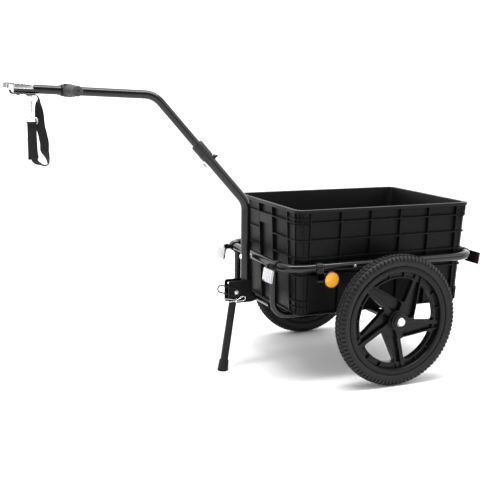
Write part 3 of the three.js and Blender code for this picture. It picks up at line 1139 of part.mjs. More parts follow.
/** One round side reflector on its band round the hoop. */
function makeSideReflector(name, side) {
  const face = side * (HOOP_HALF_WIDTH + BAND_RADIUS);
  const clampX = SIDE_REFLECTOR_PLACE + SIDE_CLAMP_SHIFT;
  const lensZ = HOOP_HEIGHT - SIDE_REFLECTOR_DROP;
  const disc = (low, high, radius) => rod(vector(SIDE_REFLECTOR_PLACE, side * low + face, lensZ),
    vector(SIDE_REFLECTOR_PLACE, side * high + face, lensZ), radius, 0, ROUND_SIDES);
  const band = rod(vector(clampX - CLAMP_WIDTH / 2, side * HOOP_HALF_WIDTH, HOOP_HEIGHT),
    vector(clampX + CLAMP_WIDTH / 2, side * HOOP_HALF_WIDTH, HOOP_HEIGHT), BAND_RADIUS);
  const [y0, y1] = [face - side * CLAMP_THICKNESS, face + side * HOUSING_WALL].sort((a, b) => a - b);
  const arm = block([clampX - CLAMP_WIDTH / 2, y0, lensZ - ARM_WIDTH / 2],
    [SIDE_REFLECTOR_PLACE, y1, HOOP_HEIGHT - ARM_HEIGHT]);
  const post = block([clampX - CLAMP_WIDTH / 2, y0, lensZ], [clampX + CLAMP_WIDTH / 2, y1, HOOP_HEIGHT]);
  const housing = cut(join(disc(0, HOUSING_DEPTH, SIDE_LENS_RADIUS + HOUSING_WALL), band, arm, post),
    disc(HOUSING_DEPTH - LENS_THICKNESS - CLEARANCE, HOUSING_DEPTH + OVERRUN, SIDE_LENS_RADIUS + CLEARANCE),
    hoopLoop(HOOP_TUBE_RADIUS + CLEARANCE));
  piece(`${name}_side_reflector_housing`, housing, BLACK_PLASTIC);
  piece(`${name}_side_reflector_lens`, disc(HOUSING_DEPTH - LENS_THICKNESS, HOUSING_DEPTH, SIDE_LENS_RADIUS),
    AMBER_LENS);
}

function makeReflectors() {
  for (const [name, side] of [["left", -1], ["right", 1]]) {
    makeSideReflector(name, side);
    makeEndReflector("front", -1, FRONT_STAND_OFF, FRONT_LENS_DROP, CLEAR_LENS, name, side);
    makeEndReflector("rear", 1, REAR_STAND_OFF, REAR_LENS_DROP, RED_LENS, name, side);
  }
}

/** One window between two spokes: an arc under the rim, a slanting side and a side towards the hub. */
function spokeWindow(number) {
  const turn = WINDOW_START + number * 2 * Math.PI / SPOKE_COUNT;
  const polar = (radius, angle) => new THREE.Vector2(radius * Math.cos(angle), radius * Math.sin(angle));
  const [first, last] = [polar(WINDOW_RADIUS, turn), polar(WINDOW_RADIUS, turn + WINDOW_SPAN)];
  const tip = polar(WINDOW_TIP_RADIUS, turn + WINDOW_SPAN);
  const towards = (from, to) => from.clone().add(to.clone().sub(from).setLength(WINDOW_CORNER));
  const skip = WINDOW_CORNER / WINDOW_RADIUS;
  const shape = new THREE.Path();
  const start = polar(WINDOW_RADIUS, turn + skip);
  shape.moveTo(start.x, start.y);
  shape.absarc(0, 0, WINDOW_RADIUS, turn + skip, turn + WINDOW_SPAN - skip);
  const round = (corner, next) => {
    const end = towards(corner, next);
    shape.quadraticCurveTo(corner.x, corner.y, end.x, end.y);
  };
  round(last, tip);
  const beforeTip = towards(tip, last);
  shape.lineTo(beforeTip.x, beforeTip.y);
  round(tip, first);
  const beforeFirst = towards(first, tip);
  shape.lineTo(beforeFirst.x, beforeFirst.y);
  shape.quadraticCurveTo(first.x, first.y, start.x, start.y);
  return shape;
}

/** The hollow in both faces of one spoke: a wedge that leaves the hub at a slant and narrows to the rim. */
function spokeHollows(number) {
  const pitch = 2 * Math.PI / SPOKE_COUNT;
  const outerEnd = WINDOW_START + WINDOW_SPAN / 2 + (number + 0.5) * pitch;
  const corners = HOLLOW_CORNER_SHARES.map(([up, round]) => {
    const radius = THREE.MathUtils.lerp(HUB_RADIUS, CHANNEL_OUTER_RADIUS, up);
    const turn = outerEnd + round * pitch;
    return new THREE.Vector2(radius * Math.cos(turn), radius * Math.sin(turn));
  });
  const depth = SPOKE_HOLLOW_DEPTH + OVERRUN;
  return [-1, 1].map((face) => plateXZ(new THREE.Shape(corners), depth,
    face * (SPOKE_THICKNESS / 2 - SPOKE_HOLLOW_DEPTH + depth / 2)));
}

function makeWheelDisc() {
  const half = RIM_WIDTH / 2;
  const lipInner = half - RIM_LIP_THICKNESS;
  const seat = RIM_RADIUS - RIM_LIP_HEIGHT;
  const well = seat - RIM_WELL_DEPTH;
  const web = SPOKE_THICKNESS / 2;
  const bed = WINDOW_RADIUS + (CHANNEL_INNER_RADIUS - WINDOW_RADIUS) / 2;
  const rim = turned([
    [bed, -web], [CHANNEL_OUTER_RADIUS, -web], [CHANNEL_OUTER_RADIUS, -half], [RIM_RADIUS, -half],
      [RIM_RADIUS, -lipInner],
    [seat, -lipInner], [well, -RIM_WELL_WIDTH / 2], [well, RIM_WELL_WIDTH / 2], [seat, lipInner], [RIM_RADIUS,
      lipInner],
    [RIM_RADIUS, half], [CHANNEL_OUTER_RADIUS, half], [CHANNEL_OUTER_RADIUS, web], [bed, web],
  ], WHEEL_SIDES);
  const face = new THREE.Shape(polygon(CHANNEL_INNER_RADIUS, WHEEL_SIDES));
  for (let i = 0; i < SPOKE_COUNT; i++) face.holes.push(spokeWindow(i));
  const disc = plateXZ(face, SPOKE_THICKNESS, 0, WINDOW_STEPS);
  const hub = rod(vector(0, -HUB_LENGTH / 2, 0), vector(0, HUB_LENGTH / 2, 0), HUB_RADIUS, 0,
    WHEEL_SIDES / 2);
  const ribs = [];
  const ribCount = SPOKE_COUNT * CHANNEL_RIBS_PER_SPOKE;
  for (let i = 0; i < ribCount; i++) {
    const rib = new THREE.BoxGeometry(CHANNEL_OUTER_RADIUS - bed, CHANNEL_RIB_DEPTH, CHANNEL_RIB_WIDTH);
    ribs.push(rib.translate((CHANNEL_OUTER_RADIUS + bed) / 2, 0,
      0).rotateY(2 * Math.PI * (i + 0.5) / ribCount));
  }
  const hollows = [];
  for (let i = 0; i < SPOKE_COUNT; i++) hollows.push(...spokeHollows(i));
  const bore = (low, high, radius) => rod(vector(0, low, 0), vector(0, high, 0), radius, 0, ROUND_SIDES);
  const seats = [-1, 1].map((end) => {
    const ends = [end * (HUB_LENGTH / 2 - BEARING_RECESS - BEARING_WIDTH - CLEARANCE),
      end * (HUB_LENGTH / 2 + OVERRUN)];
    return bore(...ends, BEARING_RADIUS + CLEARANCE);
  });
  return cut(join(rim, disc, ...ribs, hub), ...hollows, bore(-HUB_LENGTH, HUB_LENGTH, HUB_BORE_RADIUS),
    ...seats);
}

/** Radius and half width of the tyre's outside at its lower and upper bulge. */
function tyreBulges() {
  const seat = RIM_RADIUS - RIM_LIP_HEIGHT + CLEARANCE;
  return TYRE_BULGE_SHARES.map(([up, out]) => [seat + up * (TYRE_RADIUS - seat), out * TYRE_WIDTH / 2]);
}

function makeTyre() {
  const seat = RIM_RADIUS - RIM_LIP_HEIGHT + CLEARANCE;
  const beadHalf = RIM_WIDTH / 2 - RIM_LIP_THICKNESS - 2 * CLEARANCE;
  const rings = tyreBulges();
  const outside = [[seat, beadHalf], [RIM_RADIUS + CLEARANCE, beadHalf], ...rings,
    [TYRE_RADIUS, TYRE_TREAD_WIDTH / 2]];
  const inside = [
    [seat, beadHalf - TYRE_WALL],
    ...rings.map(([radius, y]) => [radius, y - TYRE_WALL]),
    [TYRE_RADIUS - TREAD_THICKNESS, TYRE_TREAD_WIDTH / 2 - TYRE_WALL],
  ];
  const mirrored = (points) => points.map(([radius, y]) => [radius, -y]);
  return turned([
    ...outside, ...mirrored(outside).reverse(), ...mirrored(inside), ...inside.slice().reverse(),
  ], WHEEL_SIDES);
}

function makeWheels() {
  for (const [name, side] of [["left", -1], ["right", 1]]) {
    const wheel = new THREE.Group();
    wheel.position.set(0, side * TRACK / 2, AXLE_HEIGHT);
    wheel.rotation.z = side < 0 ? Math.PI : 0;
    root.add(wheel);
    piece(`${name}_wheel`, makeWheelDisc(), WHEEL_PLASTIC, wheel);
    piece(`${name}_tyre`, makeTyre(), RUBBER, wheel);
    piece(`${name}_inner_tube`, makeInnerTube(), RUBBER, wheel);
    const bearing = (low) => turned([
      [BEARING_BORE_RADIUS, low], [BEARING_RADIUS, low], [BEARING_RADIUS, low + BEARING_WIDTH],
        [BEARING_BORE_RADIUS, low + BEARING_WIDTH],
    ], ROUND_SIDES);
    piece(`${name}_outer_bearing`, bearing(HUB_LENGTH / 2 - BEARING_RECESS - BEARING_WIDTH), STEEL, wheel);
    piece(`${name}_inner_bearing`, bearing(-HUB_LENGTH / 2 + BEARING_RECESS), STEEL, wheel);
    const face = HUB_LENGTH / 2 + CLEARANCE;
    const grip = -HUB_LENGTH / 2 - AXLE_BOLT_GRIP;
    piece(`${name}_axle_bolt`, turned([
      [0, grip], [AXLE_BOLT_RADIUS, grip], [AXLE_BOLT_RADIUS, face - BEARING_RECESS],
      [AXLE_CAP_RADIUS - BEARING_RECESS / 2, face - BEARING_RECESS], [AXLE_CAP_RADIUS, face],
      [AXLE_CAP_RADIUS, face + AXLE_CAP_HEIGHT * AXLE_CAP_EDGE_SHARE], [AXLE_CAP_RADIUS / 2,
        face + AXLE_CAP_HEIGHT], [0, face + AXLE_CAP_HEIGHT],
    ], ROUND_SIDES), ZINC, wheel);
  }
}

/** The inner tube: a thin rubber ring against the tyre's inside, open where the rim tape closes it. */
function makeInnerTube() {
  const wall = INNER_TUBE_WALL;
  const low = RIM_RADIUS - RIM_LIP_HEIGHT + TYRE_WALL;
  const [, [wideRadius, tyreHalf]] = tyreBulges();
  const half = tyreHalf - TYRE_WALL - CLEARANCE;
  const shoulder = half * INNER_TUBE_FOOT_SHARE;
  const top = TYRE_RADIUS - TREAD_THICKNESS - CLEARANCE;
  const crown = TYRE_TREAD_WIDTH / 2 - TYRE_WALL - CLEARANCE;
  return turned([
    [low, wall], [low, shoulder], [wideRadius, half], [top, crown], [top, -crown], [wideRadius, -half],
    [low, -shoulder], [low, -wall], [wideRadius, wall - half], [top - wall, -crown], [top - wall, crown],
    [wideRadius, half - wall],
  ], WHEEL_SIDES);
}

makeFrame();
makeDrawbar();
makeHandle();
makeSafetyStrap(makeCoupling());
makeStand();
makeReflectors();
makeWheels();

// The origin goes to the middle of the footprint, on the floor
root.updateMatrixWorld(true);
const reach = new THREE.Box3().setFromObject(root, true);
const middle = reach.getCenter(new THREE.Vector3());
root.position.set(-middle.x, -middle.y, -reach.min.z);

export default root;
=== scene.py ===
"""A bicycle cargo trailer: a plastic tub in a tube frame on two wheels, with drawbar, strap and stand.

Sizes in the classes are in millimetres, with x = 0 over the axle, z = 0 on the floor and -Y the trailer's
left. Skin.build turns them into metres and moves them into the shared frame.
"""
import logging
import math
from dataclasses import dataclass, field
from enum import Enum
from functools import cache

import bmesh
import bpy
import numpy as np
from mathutils import Matrix, Vector


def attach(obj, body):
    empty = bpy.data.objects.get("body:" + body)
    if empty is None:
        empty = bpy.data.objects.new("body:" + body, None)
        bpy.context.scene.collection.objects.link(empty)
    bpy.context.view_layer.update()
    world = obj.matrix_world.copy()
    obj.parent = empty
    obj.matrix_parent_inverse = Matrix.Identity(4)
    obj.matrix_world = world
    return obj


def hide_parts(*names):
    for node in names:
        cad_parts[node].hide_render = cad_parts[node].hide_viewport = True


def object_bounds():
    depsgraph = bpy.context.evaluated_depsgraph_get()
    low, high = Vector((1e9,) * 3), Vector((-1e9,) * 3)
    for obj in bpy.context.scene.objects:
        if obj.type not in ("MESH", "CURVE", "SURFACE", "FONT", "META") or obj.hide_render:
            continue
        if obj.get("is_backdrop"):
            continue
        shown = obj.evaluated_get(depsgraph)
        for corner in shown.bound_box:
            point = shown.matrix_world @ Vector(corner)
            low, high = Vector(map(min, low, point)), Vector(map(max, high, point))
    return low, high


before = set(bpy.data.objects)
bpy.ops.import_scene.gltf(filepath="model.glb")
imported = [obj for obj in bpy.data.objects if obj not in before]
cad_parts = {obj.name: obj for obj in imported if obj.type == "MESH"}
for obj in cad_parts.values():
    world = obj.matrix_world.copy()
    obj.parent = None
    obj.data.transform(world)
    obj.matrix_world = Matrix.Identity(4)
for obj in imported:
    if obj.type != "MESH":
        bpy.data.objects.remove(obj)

LOG = logging.getLogger("trailer")
MILLIMETRE = 0.001
AXLE_X = 354.30
AXLE_Z = 198.29
GAP = 0.3  # clearance between pieces that lie on each other
BACK, ACROSS, UP = np.eye(3)
Array = np.ndarray


class Side(Enum):
    """The two sides of the trailer, with the sign of their Y."""

    LEFT = -1
    RIGHT = 1

    @property
    def word(self) -> str:
        """The side's name as the nodes spell it."""
        return self.name.lower()

    @property
    def out(self) -> Array:
        """Direction away from the trailer's middle."""
        return ACROSS * self.value


class Body(Enum):
    """The rigid bodies that pieces ride on."""

    FRAME = "frame"
    LEFT_WHEEL = "left_wheel_assembly"
    RIGHT_WHEEL = "right_wheel_assembly"
    STAND = "stand"
    HOOK = "hook"
    GATE = "gate"


def vec(*values: float) -> Array:
    """A numpy vector of its arguments."""
    return np.array(values, dtype=float)


def unit(values: Array) -> Array:
    """Each vector of the last axis divided by its length."""
    return values / np.maximum(np.linalg.norm(values, axis=-1, keepdims=True), 1e-12)


def headings(path: Array, closed: bool = False) -> Array:
    """Directions along a path: the mean of the unit steps before and after each point.

    Args:
        path: points, one row each.
        closed: whether the last point leads back to the first.

    Returns:
        One unit vector per point.
    """
    steps = unit(np.roll(path, -1, axis=0) - path)
    before = np.roll(steps, 1, axis=0)
    if not closed:
        steps[-1] = steps[-2]
        before[0] = steps[0]
    return unit(steps + before)


def bent(corners: list, bends: list, closed: bool = False, step: float = 6.0) -> Array:
    """Straight runs joined by arcs: start + inward r (1 - cos a) + into r sin a at each corner.

    Args:
        corners: corner points, in 2 or 3 dimensions.
        bends: a radius for each corner, 0 for a sharp one.
        closed: whether the path is a loop.
        step: degrees between points of an arc.

    Returns:
        The points of the path.
    """
    points = np.array(corners, dtype=float)
    count = len(points)
    parts = []
    for i, radius in enumerate(bends):
        if radius <= 0 or (not closed and i in (0, count - 1)):
            parts.append(points[i:i + 1])
            continue
        into = unit(points[i] - points[i - 1])
        out = unit(points[(i + 1) % count] - points[i])
        turn = math.acos(float(np.clip(into @ out, -1.0, 1.0)))
        start = points[i] - into * radius * math.tan(turn / 2)
        inward = unit(out - into * (into @ out))
        angle = np.linspace(0.0, turn, max(3, int(math.degrees(turn) / step) + 2))[:, None]
        parts.append(start + inward * radius * (1 - np.cos(angle)) + into * radius * np.sin(angle))
    return np.concatenate(parts)


def curved(points: list | Array, samples: int) -> Array:
    """A smooth curve through points: a cubic on each span, its end slopes half the neighbours' difference.

    Args:
        points: the points that the curve passes, any dimension.
        samples: how many points to return.

    Returns:
        The samples, even in the span parameter.
    """
    given = np.array(points, dtype=float)
    last = len(given) - 1
    place = np.linspace(0, last, samples)
    span = np.minimum(place.astype(int), last - 1)
    t = (place - span)[:, None]
    a, b, c, d = (given[np.clip(span + shift, 0, last)] for shift in (-1, 0, 1, 2))
    return 0.5 * (2 * b + (c - a) * t + (2 * a - 5 * b + 4 * c - d) * t**2 + (3 * b - a - 3 * c + d) * t**3)


def circles(first: Array, second: Array, sides: int) -> Array:
    """Unit circles: cos a E1 + sin a E2, for one pair of directions or for a row of pairs."""
    angle = np.linspace(0, 2 * np.pi, sides, endpoint=False)[:, None]
    return np.cos(angle) * first[..., None, :] + np.sin(angle) * second[..., None, :]


def tube(path: Array, normal: Array, radius: float | Array, closed: bool = False, sides: int = 28) -> Array:
    """A circle carried along a plane path: path + r (cos a N + sin a N x T), N across it, T the heading.

    Args:
        path: the middle line.
        normal: unit vector square to the plane of the path.
        radius: one radius, or one for each point.
        closed: whether the path is a loop.
        sides: points round the circle.

    Returns:
        A grid of points, one row for each point of the path.
    """
    across = np.broadcast_to(normal, path.shape)
    size = np.broadcast_to(radius, (len(path),))
    rings = circles(across, np.cross(across, headings(path, closed)), sides)
    return path[:, None] + size[:, None, None] * rings


def bar(start: Array, end: Array, radius: float, edge: float = 0.6, sides: int = 28) -> Array:
    """A straight round bar with eased ends: its radius grows by the edge over the first and last step."""
    along = unit(end - start)
    length = np.linalg.norm(end - start)
    reach = vec(0, 0, edge, length - edge, length, length)
    sizes = vec(1e-3, radius - edge, radius, radius, radius - edge, 1e-3)
    normal = unit(np.cross(along, vec(0.3, 0.9, 0.2) if abs(along[1]) < 0.8 else BACK))
    path = start + reach[:, None] * along
    return path[:, None] + sizes[:, None, None] * circles(normal, np.cross(normal, along), sides)


def turned(profile: tuple | list | Array, centre: Array, axis: Array, segments: int) -> Array:
    """A profile turned about an axis A: centre + h A + r (cos a E + sin a A x E), for rows of r and h.

    Args:
        profile: rows of radius and height along the axis.
        centre: a point on the axis where the height is 0.
        axis: unit vector of the axis.
        segments: steps round the axis.

    Returns:
        A grid of points, one row for each step.
    """
    rows = np.asarray(profile, dtype=float)
    first = unit(np.cross(axis, UP if abs(axis[2]) < 0.9 else BACK))
    ring = circles(first, np.cross(axis, first), segments)
    return centre + rows[None, :, :1] * ring[:, None] + rows[None, :, 1:] * axis


def eased(outline: Array, inset: float) -> Array:
    """A closed outline moved inwards: each point goes the inset along the mean normal of its two sides."""
    heading = headings(outline, closed=True)
    normal = np.stack([-heading[:, 1], heading[:, 0]], axis=1)
    area = np.sum(outline[:, 0] * np.roll(outline[:, 1], -1) - outline[:, 1] * np.roll(outline[:, 0], -1))
    return outline + math.copysign(inset, area) * normal


def raised(rings: list, origin: Array, first: Array, second: Array) -> Array:
    """Flat rings set at their heights, one row of the grid each: origin + x E1 + y E2 + h (E1 x E2)."""
    up = np.cross(first, second)
    return np.stack([origin + flat[:, :1] * first + flat[:, 1:] * second + height * up
                     for flat, height in rings])


def slab(outline: Array, origin: Array, first: Array, second: Array, low: float, high: float,
         edge: float) -> Array:
    """A flat outline raised from low to high with eased edges.

    Args:
        outline: closed outline, rows of x and y.
        origin: where x, y and height are 0.
        first: direction of x.
        second: direction of y.
        low: lowest height.
        high: highest height.
        edge: how far the edges are eased.

    Returns:
        A grid of four rings.
    """
    small = eased(outline, edge)
    rings = [(small, low), (outline, low + edge), (outline, high - edge), (small, high)]
    return raised(rings, origin, first, second)


def holed(outline: Array, hole: Array, radius: float, origin: Array, first: Array, second: Array, low: float,
          high: float, edge: float = 0.4) -> Array:
    """A slab with one round hole: its section, from the hole out and back, is carried round the hole.

    Args:
        outline: closed outline that every ray from the hole's middle meets once.
        hole: middle of the hole.
        radius: radius of the hole.
        origin: where x, y and height are 0.
        first: direction of x.
        second: direction of y.
        low: lowest height.
        high: highest height.
        edge: how far the edges are eased.

    Returns:
        A grid closed both ways.
    """
    away = outline - hole
    angle = np.arctan2(away[:, 1], away[:, 0])
    spread = np.stack([np.cos(angle), np.sin(angle)], axis=1)
    rim, wide, small = hole + radius * spread, hole + (radius + edge) * spread, eased(outline, edge)
    rings = [(rim, low + edge), (wide, low), (small, low), (outline, low + edge), (outline, high - edge),
             (small, high), (wide, high), (rim, high - edge)]
    return raised(rings, origin, first, second)


def rectangle(width: float, height: float, radius: float, middle: tuple[float, float] = (0.0, 0.0)) -> Array:
    """The outline of a rectangle with round corners."""
    x, y = width / 2, height / 2
    corners = [(x, -y), (x, y), (-x, y), (-x, -y)]
    return bent(corners, [radius] * 4, closed=True, step=15) + np.array(middle)


def hexagon(radius: float) -> Array:
    """The outline of a hexagon, with its middle's distance to the corners."""
    angle = np.arange(6) * np.pi / 3
    return np.stack([radius * np.cos(angle), radius * np.sin(angle)], axis=1)


def block(low: Array, high: Array, edge: float = 0.8) -> Array:
    """A box with eased upright edges, ends and rims, as a slab of its rounded plan."""
    size = high - low
    plan = rectangle(size[0], size[1], edge, (low[0] + size[0] / 2, low[1] + size[1] / 2))
    return slab(plan, np.zeros(3), BACK, ACROSS, low[2], high[2], edge / 2)


class Skin:
    """Grids of points gathered into one piece, in millimetres."""

    def __init__(self) -> None:
        """Start with no grid."""
        self.points: list[Array] = []
        self.faces: list = []
        self.places: list[Array] = []
        self.count = 0

    def grid(self, points: Array, rows: bool = False, columns: bool = True, caps: bool = True,
             places: Array | None = None) -> "Skin":
        """Add a grid of points as quads.

        Args:
            points: rows by columns by 3.
            rows: whether the last row joins the first.
            columns: whether the last column joins the first.
            caps: whether open end rows are closed with a face.
            places: rows by columns by 2, the pattern's place on the surface.

        Returns:
            This skin, so that calls can follow each other.
        """
        index = np.arange(points.shape[0] * points.shape[1]).reshape(points.shape[:2]) + self.count
        ends = [index[0, ::-1], index[-1]]
        if rows:
            index = np.vstack([index, index[:1]])
        if columns:
            index = np.hstack([index, index[:, :1]])
        quads = np.stack([index[:-1, :-1], index[:-1, 1:], index[1:, 1:], index[1:, :-1]], axis=-1)
        self.faces += quads.reshape(-1, 4).tolist()
        if caps and not rows:
            self.faces += [end.tolist() for end in ends]
        flat = points.reshape(-1, 3)
        self.points.append(flat)
        self.places.append(np.zeros((len(flat), 2)) if places is None else places.reshape(-1, 2))
        self.count += len(flat)
        return self

    def lathe(self, profile: tuple | list | Array, centre: Array, axis: Array, segments: int,
              ring: bool = False) -> "Skin":
        """Add a turned profile.

        Args:
            profile: rows of radius and height along the axis.
            centre: a point on the axis where the height is 0.
            axis: unit vector of the axis.
            segments: steps round the axis.
            ring: whether the profile's last row joins its first.

        Returns:
            This skin.
        """
        return self.grid(turned(profile, centre, axis, segments), rows=True, columns=ring)

    def mapped(self, matrix: Array, origin: Array) -> "Skin":
        """Turn and move every point so far: origin + matrix times point."""
        self.points = [origin + part @ matrix.T for part in self.points]
        return self

    def build(self, name: str, finish: "Finish", *nodes: str, body: Body = Body.FRAME,
              sharp: float = 38.0) -> bpy.types.Object:
        """Make the piece in the shared frame, dress it and hang it on its body.

        Args:
            name: the piece's name.
            finish: what it is made of.
            nodes: CAD nodes that it stands for.
            body: the body that it rides on.
            sharp: angle in degrees above which an edge stays sharp.

        Returns:
            The new object.
        """
        placed = (np.concatenate(self.points) + BACK * AXLE_X) * MILLIMETRE
        mesh = bpy.data.meshes.new(name)
        mesh.from_pydata(placed.tolist(), [], self.faces)
        places = np.concatenate(self.places)
        if np.any(places):
            corner = np.empty(len(mesh.loops), dtype=np.int32)
            mesh.loops.foreach_get("vertex_index", corner)
            layer = mesh.uv_layers.new(name="places")
            layer.data.foreach_set("uv", places[corner].astype(np.float32).ravel())
        work = bmesh.new()
        work.from_mesh(mesh)
        bmesh.ops.remove_doubles(work, verts=work.verts, dist=2e-6)
        bmesh.ops.recalc_face_normals(work, faces=work.faces)
        work.to_mesh(mesh)
        work.free()
        mesh.polygons.foreach_set("use_smooth", np.ones(len(mesh.polygons), dtype=bool))
        mesh.set_sharp_from_angle(angle=math.radians(sharp))
        mesh.materials.append(finish.material())
        piece = bpy.data.objects.new(name, mesh)
        bpy.context.scene.collection.objects.link(piece)
        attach(piece, body.value)
        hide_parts(*nodes)
        LOG.info("%s: %d faces on %s", name, len(mesh.polygons), body.value)
        return piece


class Groups:
    """The shader node groups that the finishes share, each made once."""

    @staticmethod
    def shell(name: str, inputs: dict, outputs: dict) -> tuple:
        """An empty group with its sockets.

        Args:
            name: the group's name.
            inputs: socket names with their type and default.
            outputs: socket names with their type.

        Returns:
            The group, its input node and its output node.
        """
        tree = bpy.data.node_groups.new(name, "ShaderNodeTree")
        for label, (kind, default) in inputs.items():
            socket = tree.interface.new_socket(name=label, in_out="INPUT", socket_type=kind)
            if default is not None:
                socket.default_value = default
        for label, kind in outputs.items():
            tree.interface.new_socket(name=label, in_out="OUTPUT", socket_type=kind)
        return tree, tree.nodes.new("NodeGroupInput"), tree.nodes.new("NodeGroupOutput")

    @staticmethod
    def noise(tree: bpy.types.NodeTree, vector: bpy.types.NodeSocket, scale: float, detail: float,
              rough: float = 0.55) -> bpy.types.Node:
        """A noise texture at a scale on a vector."""
        node = tree.nodes.new("ShaderNodeTexNoise")
        node.inputs["Scale"].default_value = scale
        node.inputs["Detail"].default_value = detail
        node.inputs["Roughness"].default_value = rough
        tree.links.new(vector, node.inputs["Vector"])
        return node

    @staticmethod
    def math(tree: bpy.types.NodeTree, operation: str, *values: object) -> bpy.types.NodeSocket:
        """A math node whose inputs are sockets or numbers, and its result."""
        node = tree.nodes.new("ShaderNodeMath")
        node.operation = operation
        for socket, value in zip(node.inputs, values):
            if isinstance(value, bpy.types.NodeSocket):
                tree.links.new(value, socket)
            else:
                socket.default_value = value
        return node.outputs[0]

    @staticmethod
    def scaled(tree: bpy.types.NodeTree, colour: bpy.types.NodeSocket,
               level: bpy.types.NodeSocket) -> bpy.types.NodeSocket:
        """A colour times a level."""
        node = tree.nodes.new("ShaderNodeVectorMath")
        node.operation = "SCALE"
        tree.links.new(colour, node.inputs[0])
        tree.links.new(level, node.inputs["Scale"])
        return node.outputs[0]

    @staticmethod
    def split(tree: bpy.types.NodeTree, vector: bpy.types.NodeSocket) -> bpy.types.bpy_prop_collection:
        """The X, Y and Z sockets of a vector."""
        node = tree.nodes.new("ShaderNodeSeparateXYZ")
        tree.links.new(vector, node.inputs[0])
        return node.outputs

    @classmethod
    @cache
    def surface(cls) -> bpy.types.NodeTree:
        """Uneven colour and gloss: broad cloudy shade, fine speckle and settled dust on what faces up."""
        tree, given, result = cls.shell("uneven surface", {
            "Vector": ("NodeSocketVector", None), "Colour": ("NodeSocketColor", (0.1, 0.1, 0.1, 1)),
            "Shade": ("NodeSocketFloat", 0.2), "Speckle": ("NodeSocketFloat", 0.1),
            "Dust": ("NodeSocketFloat", 0.1), "Gloss": ("NodeSocketFloat", 0.4),
        }, {"Colour": "NodeSocketColor", "Roughness": "NodeSocketFloat"})
        broad = cls.noise(tree, given.outputs["Vector"], 9.0, 4.0)
        fine = cls.noise(tree, given.outputs["Vector"], 260.0, 3.0, 0.7)
        cloud = cls.math(tree, "MULTIPLY_ADD", broad.outputs["Fac"], 2.0, -1.0)
        grit = cls.math(tree, "MULTIPLY_ADD", fine.outputs["Fac"], 2.0, -1.0)
        level = cls.math(tree, "ADD", cls.math(tree, "MULTIPLY", cloud, given.outputs["Shade"]),
                         cls.math(tree, "MULTIPLY_ADD", grit, given.outputs["Speckle"], 1.0))
        facing = tree.nodes.new("ShaderNodeNewGeometry")
        upward = cls.math(tree, "MAXIMUM", cls.split(tree, facing.outputs["Normal"])["Z"], 0.0)
        dust = cls.math(tree, "MULTIPLY", cls.math(tree, "POWER", upward, 2.0),
                        cls.math(tree, "MULTIPLY", given.outputs["Dust"], broad.outputs["Fac"]))
        mix = tree.nodes.new("ShaderNodeMix")
        mix.data_type = "RGBA"
        mix.inputs["B"].default_value = (0.23, 0.22, 0.21, 1)
        tree.links.new(dust, mix.inputs["Factor"])
        tree.links.new(cls.scaled(tree, given.outputs["Colour"], level), mix.inputs["A"])
        tree.links.new(mix.outputs["Result"], result.inputs["Colour"])
        rough = cls.math(tree, "MULTIPLY_ADD", cloud, 0.08, given.outputs["Gloss"])
        tree.links.new(cls.math(tree, "ADD", rough, dust), result.inputs["Roughness"])
        return tree

    @classmethod
    @cache
    def grain(cls) -> bpy.types.NodeTree:
        """Moulded grain or orange peel: a noise at the scale plus one four times finer, as a height."""
        tree, given, result = cls.shell("fine grain", {
            "Vector": ("NodeSocketVector", None), "Scale": ("NodeSocketFloat", 300.0),
        }, {"Height": "NodeSocketFloat"})
        coarse = cls.noise(tree, given.outputs["Vector"], 300.0, 2.0)
        fine = cls.noise(tree, given.outputs["Vector"], 1200.0, 1.0)
        tree.links.new(given.outputs["Scale"], coarse.inputs["Scale"])
        tree.links.new(cls.math(tree, "MULTIPLY", given.outputs["Scale"], 4.0), fine.inputs["Scale"])
        height = cls.math(tree, "MULTIPLY_ADD", fine.outputs["Fac"], 0.3, coarse.outputs["Fac"])
        tree.links.new(height, result.inputs["Height"])
        return tree

    @classmethod
    @cache
    def weave(cls) -> bpy.types.NodeTree:
        """Webbing: ribs across the band and yarns along it, from sine waves of the place in metres, with
        painted shade that is darker in the weave's hollows and lighter on its raised yarns.
        """
        tree, given, result = cls.shell("webbing weave", {
            "Place": ("NodeSocketVector", None), "Pitch": ("NodeSocketFloat", 0.0014),
        }, {"Height": "NodeSocketFloat", "Shade": "NodeSocketFloat"})
        parts = cls.split(tree, given.outputs["Place"])
        turns = cls.math(tree, "DIVIDE", 2 * math.pi, given.outputs["Pitch"])
        along, across = (cls.math(tree, "SINE", cls.math(tree, "MULTIPLY", parts[axis], turns))
                         for axis in "YX")
        cross = cls.math(tree, "MULTIPLY", along, across)
        height = cls.math(tree, "MULTIPLY_ADD", cross, 0.5, cls.math(tree, "MULTIPLY_ADD", along, 0.25, 0.5))
        tree.links.new(height, result.inputs["Height"])
        # Painted shade from the height: the colour darkens in the hollows between the yarns and brightens on
        # their tops.
        tree.links.new(cls.math(tree, "MULTIPLY_ADD", height, 0.7, 0.55), result.inputs["Shade"])
        return tree

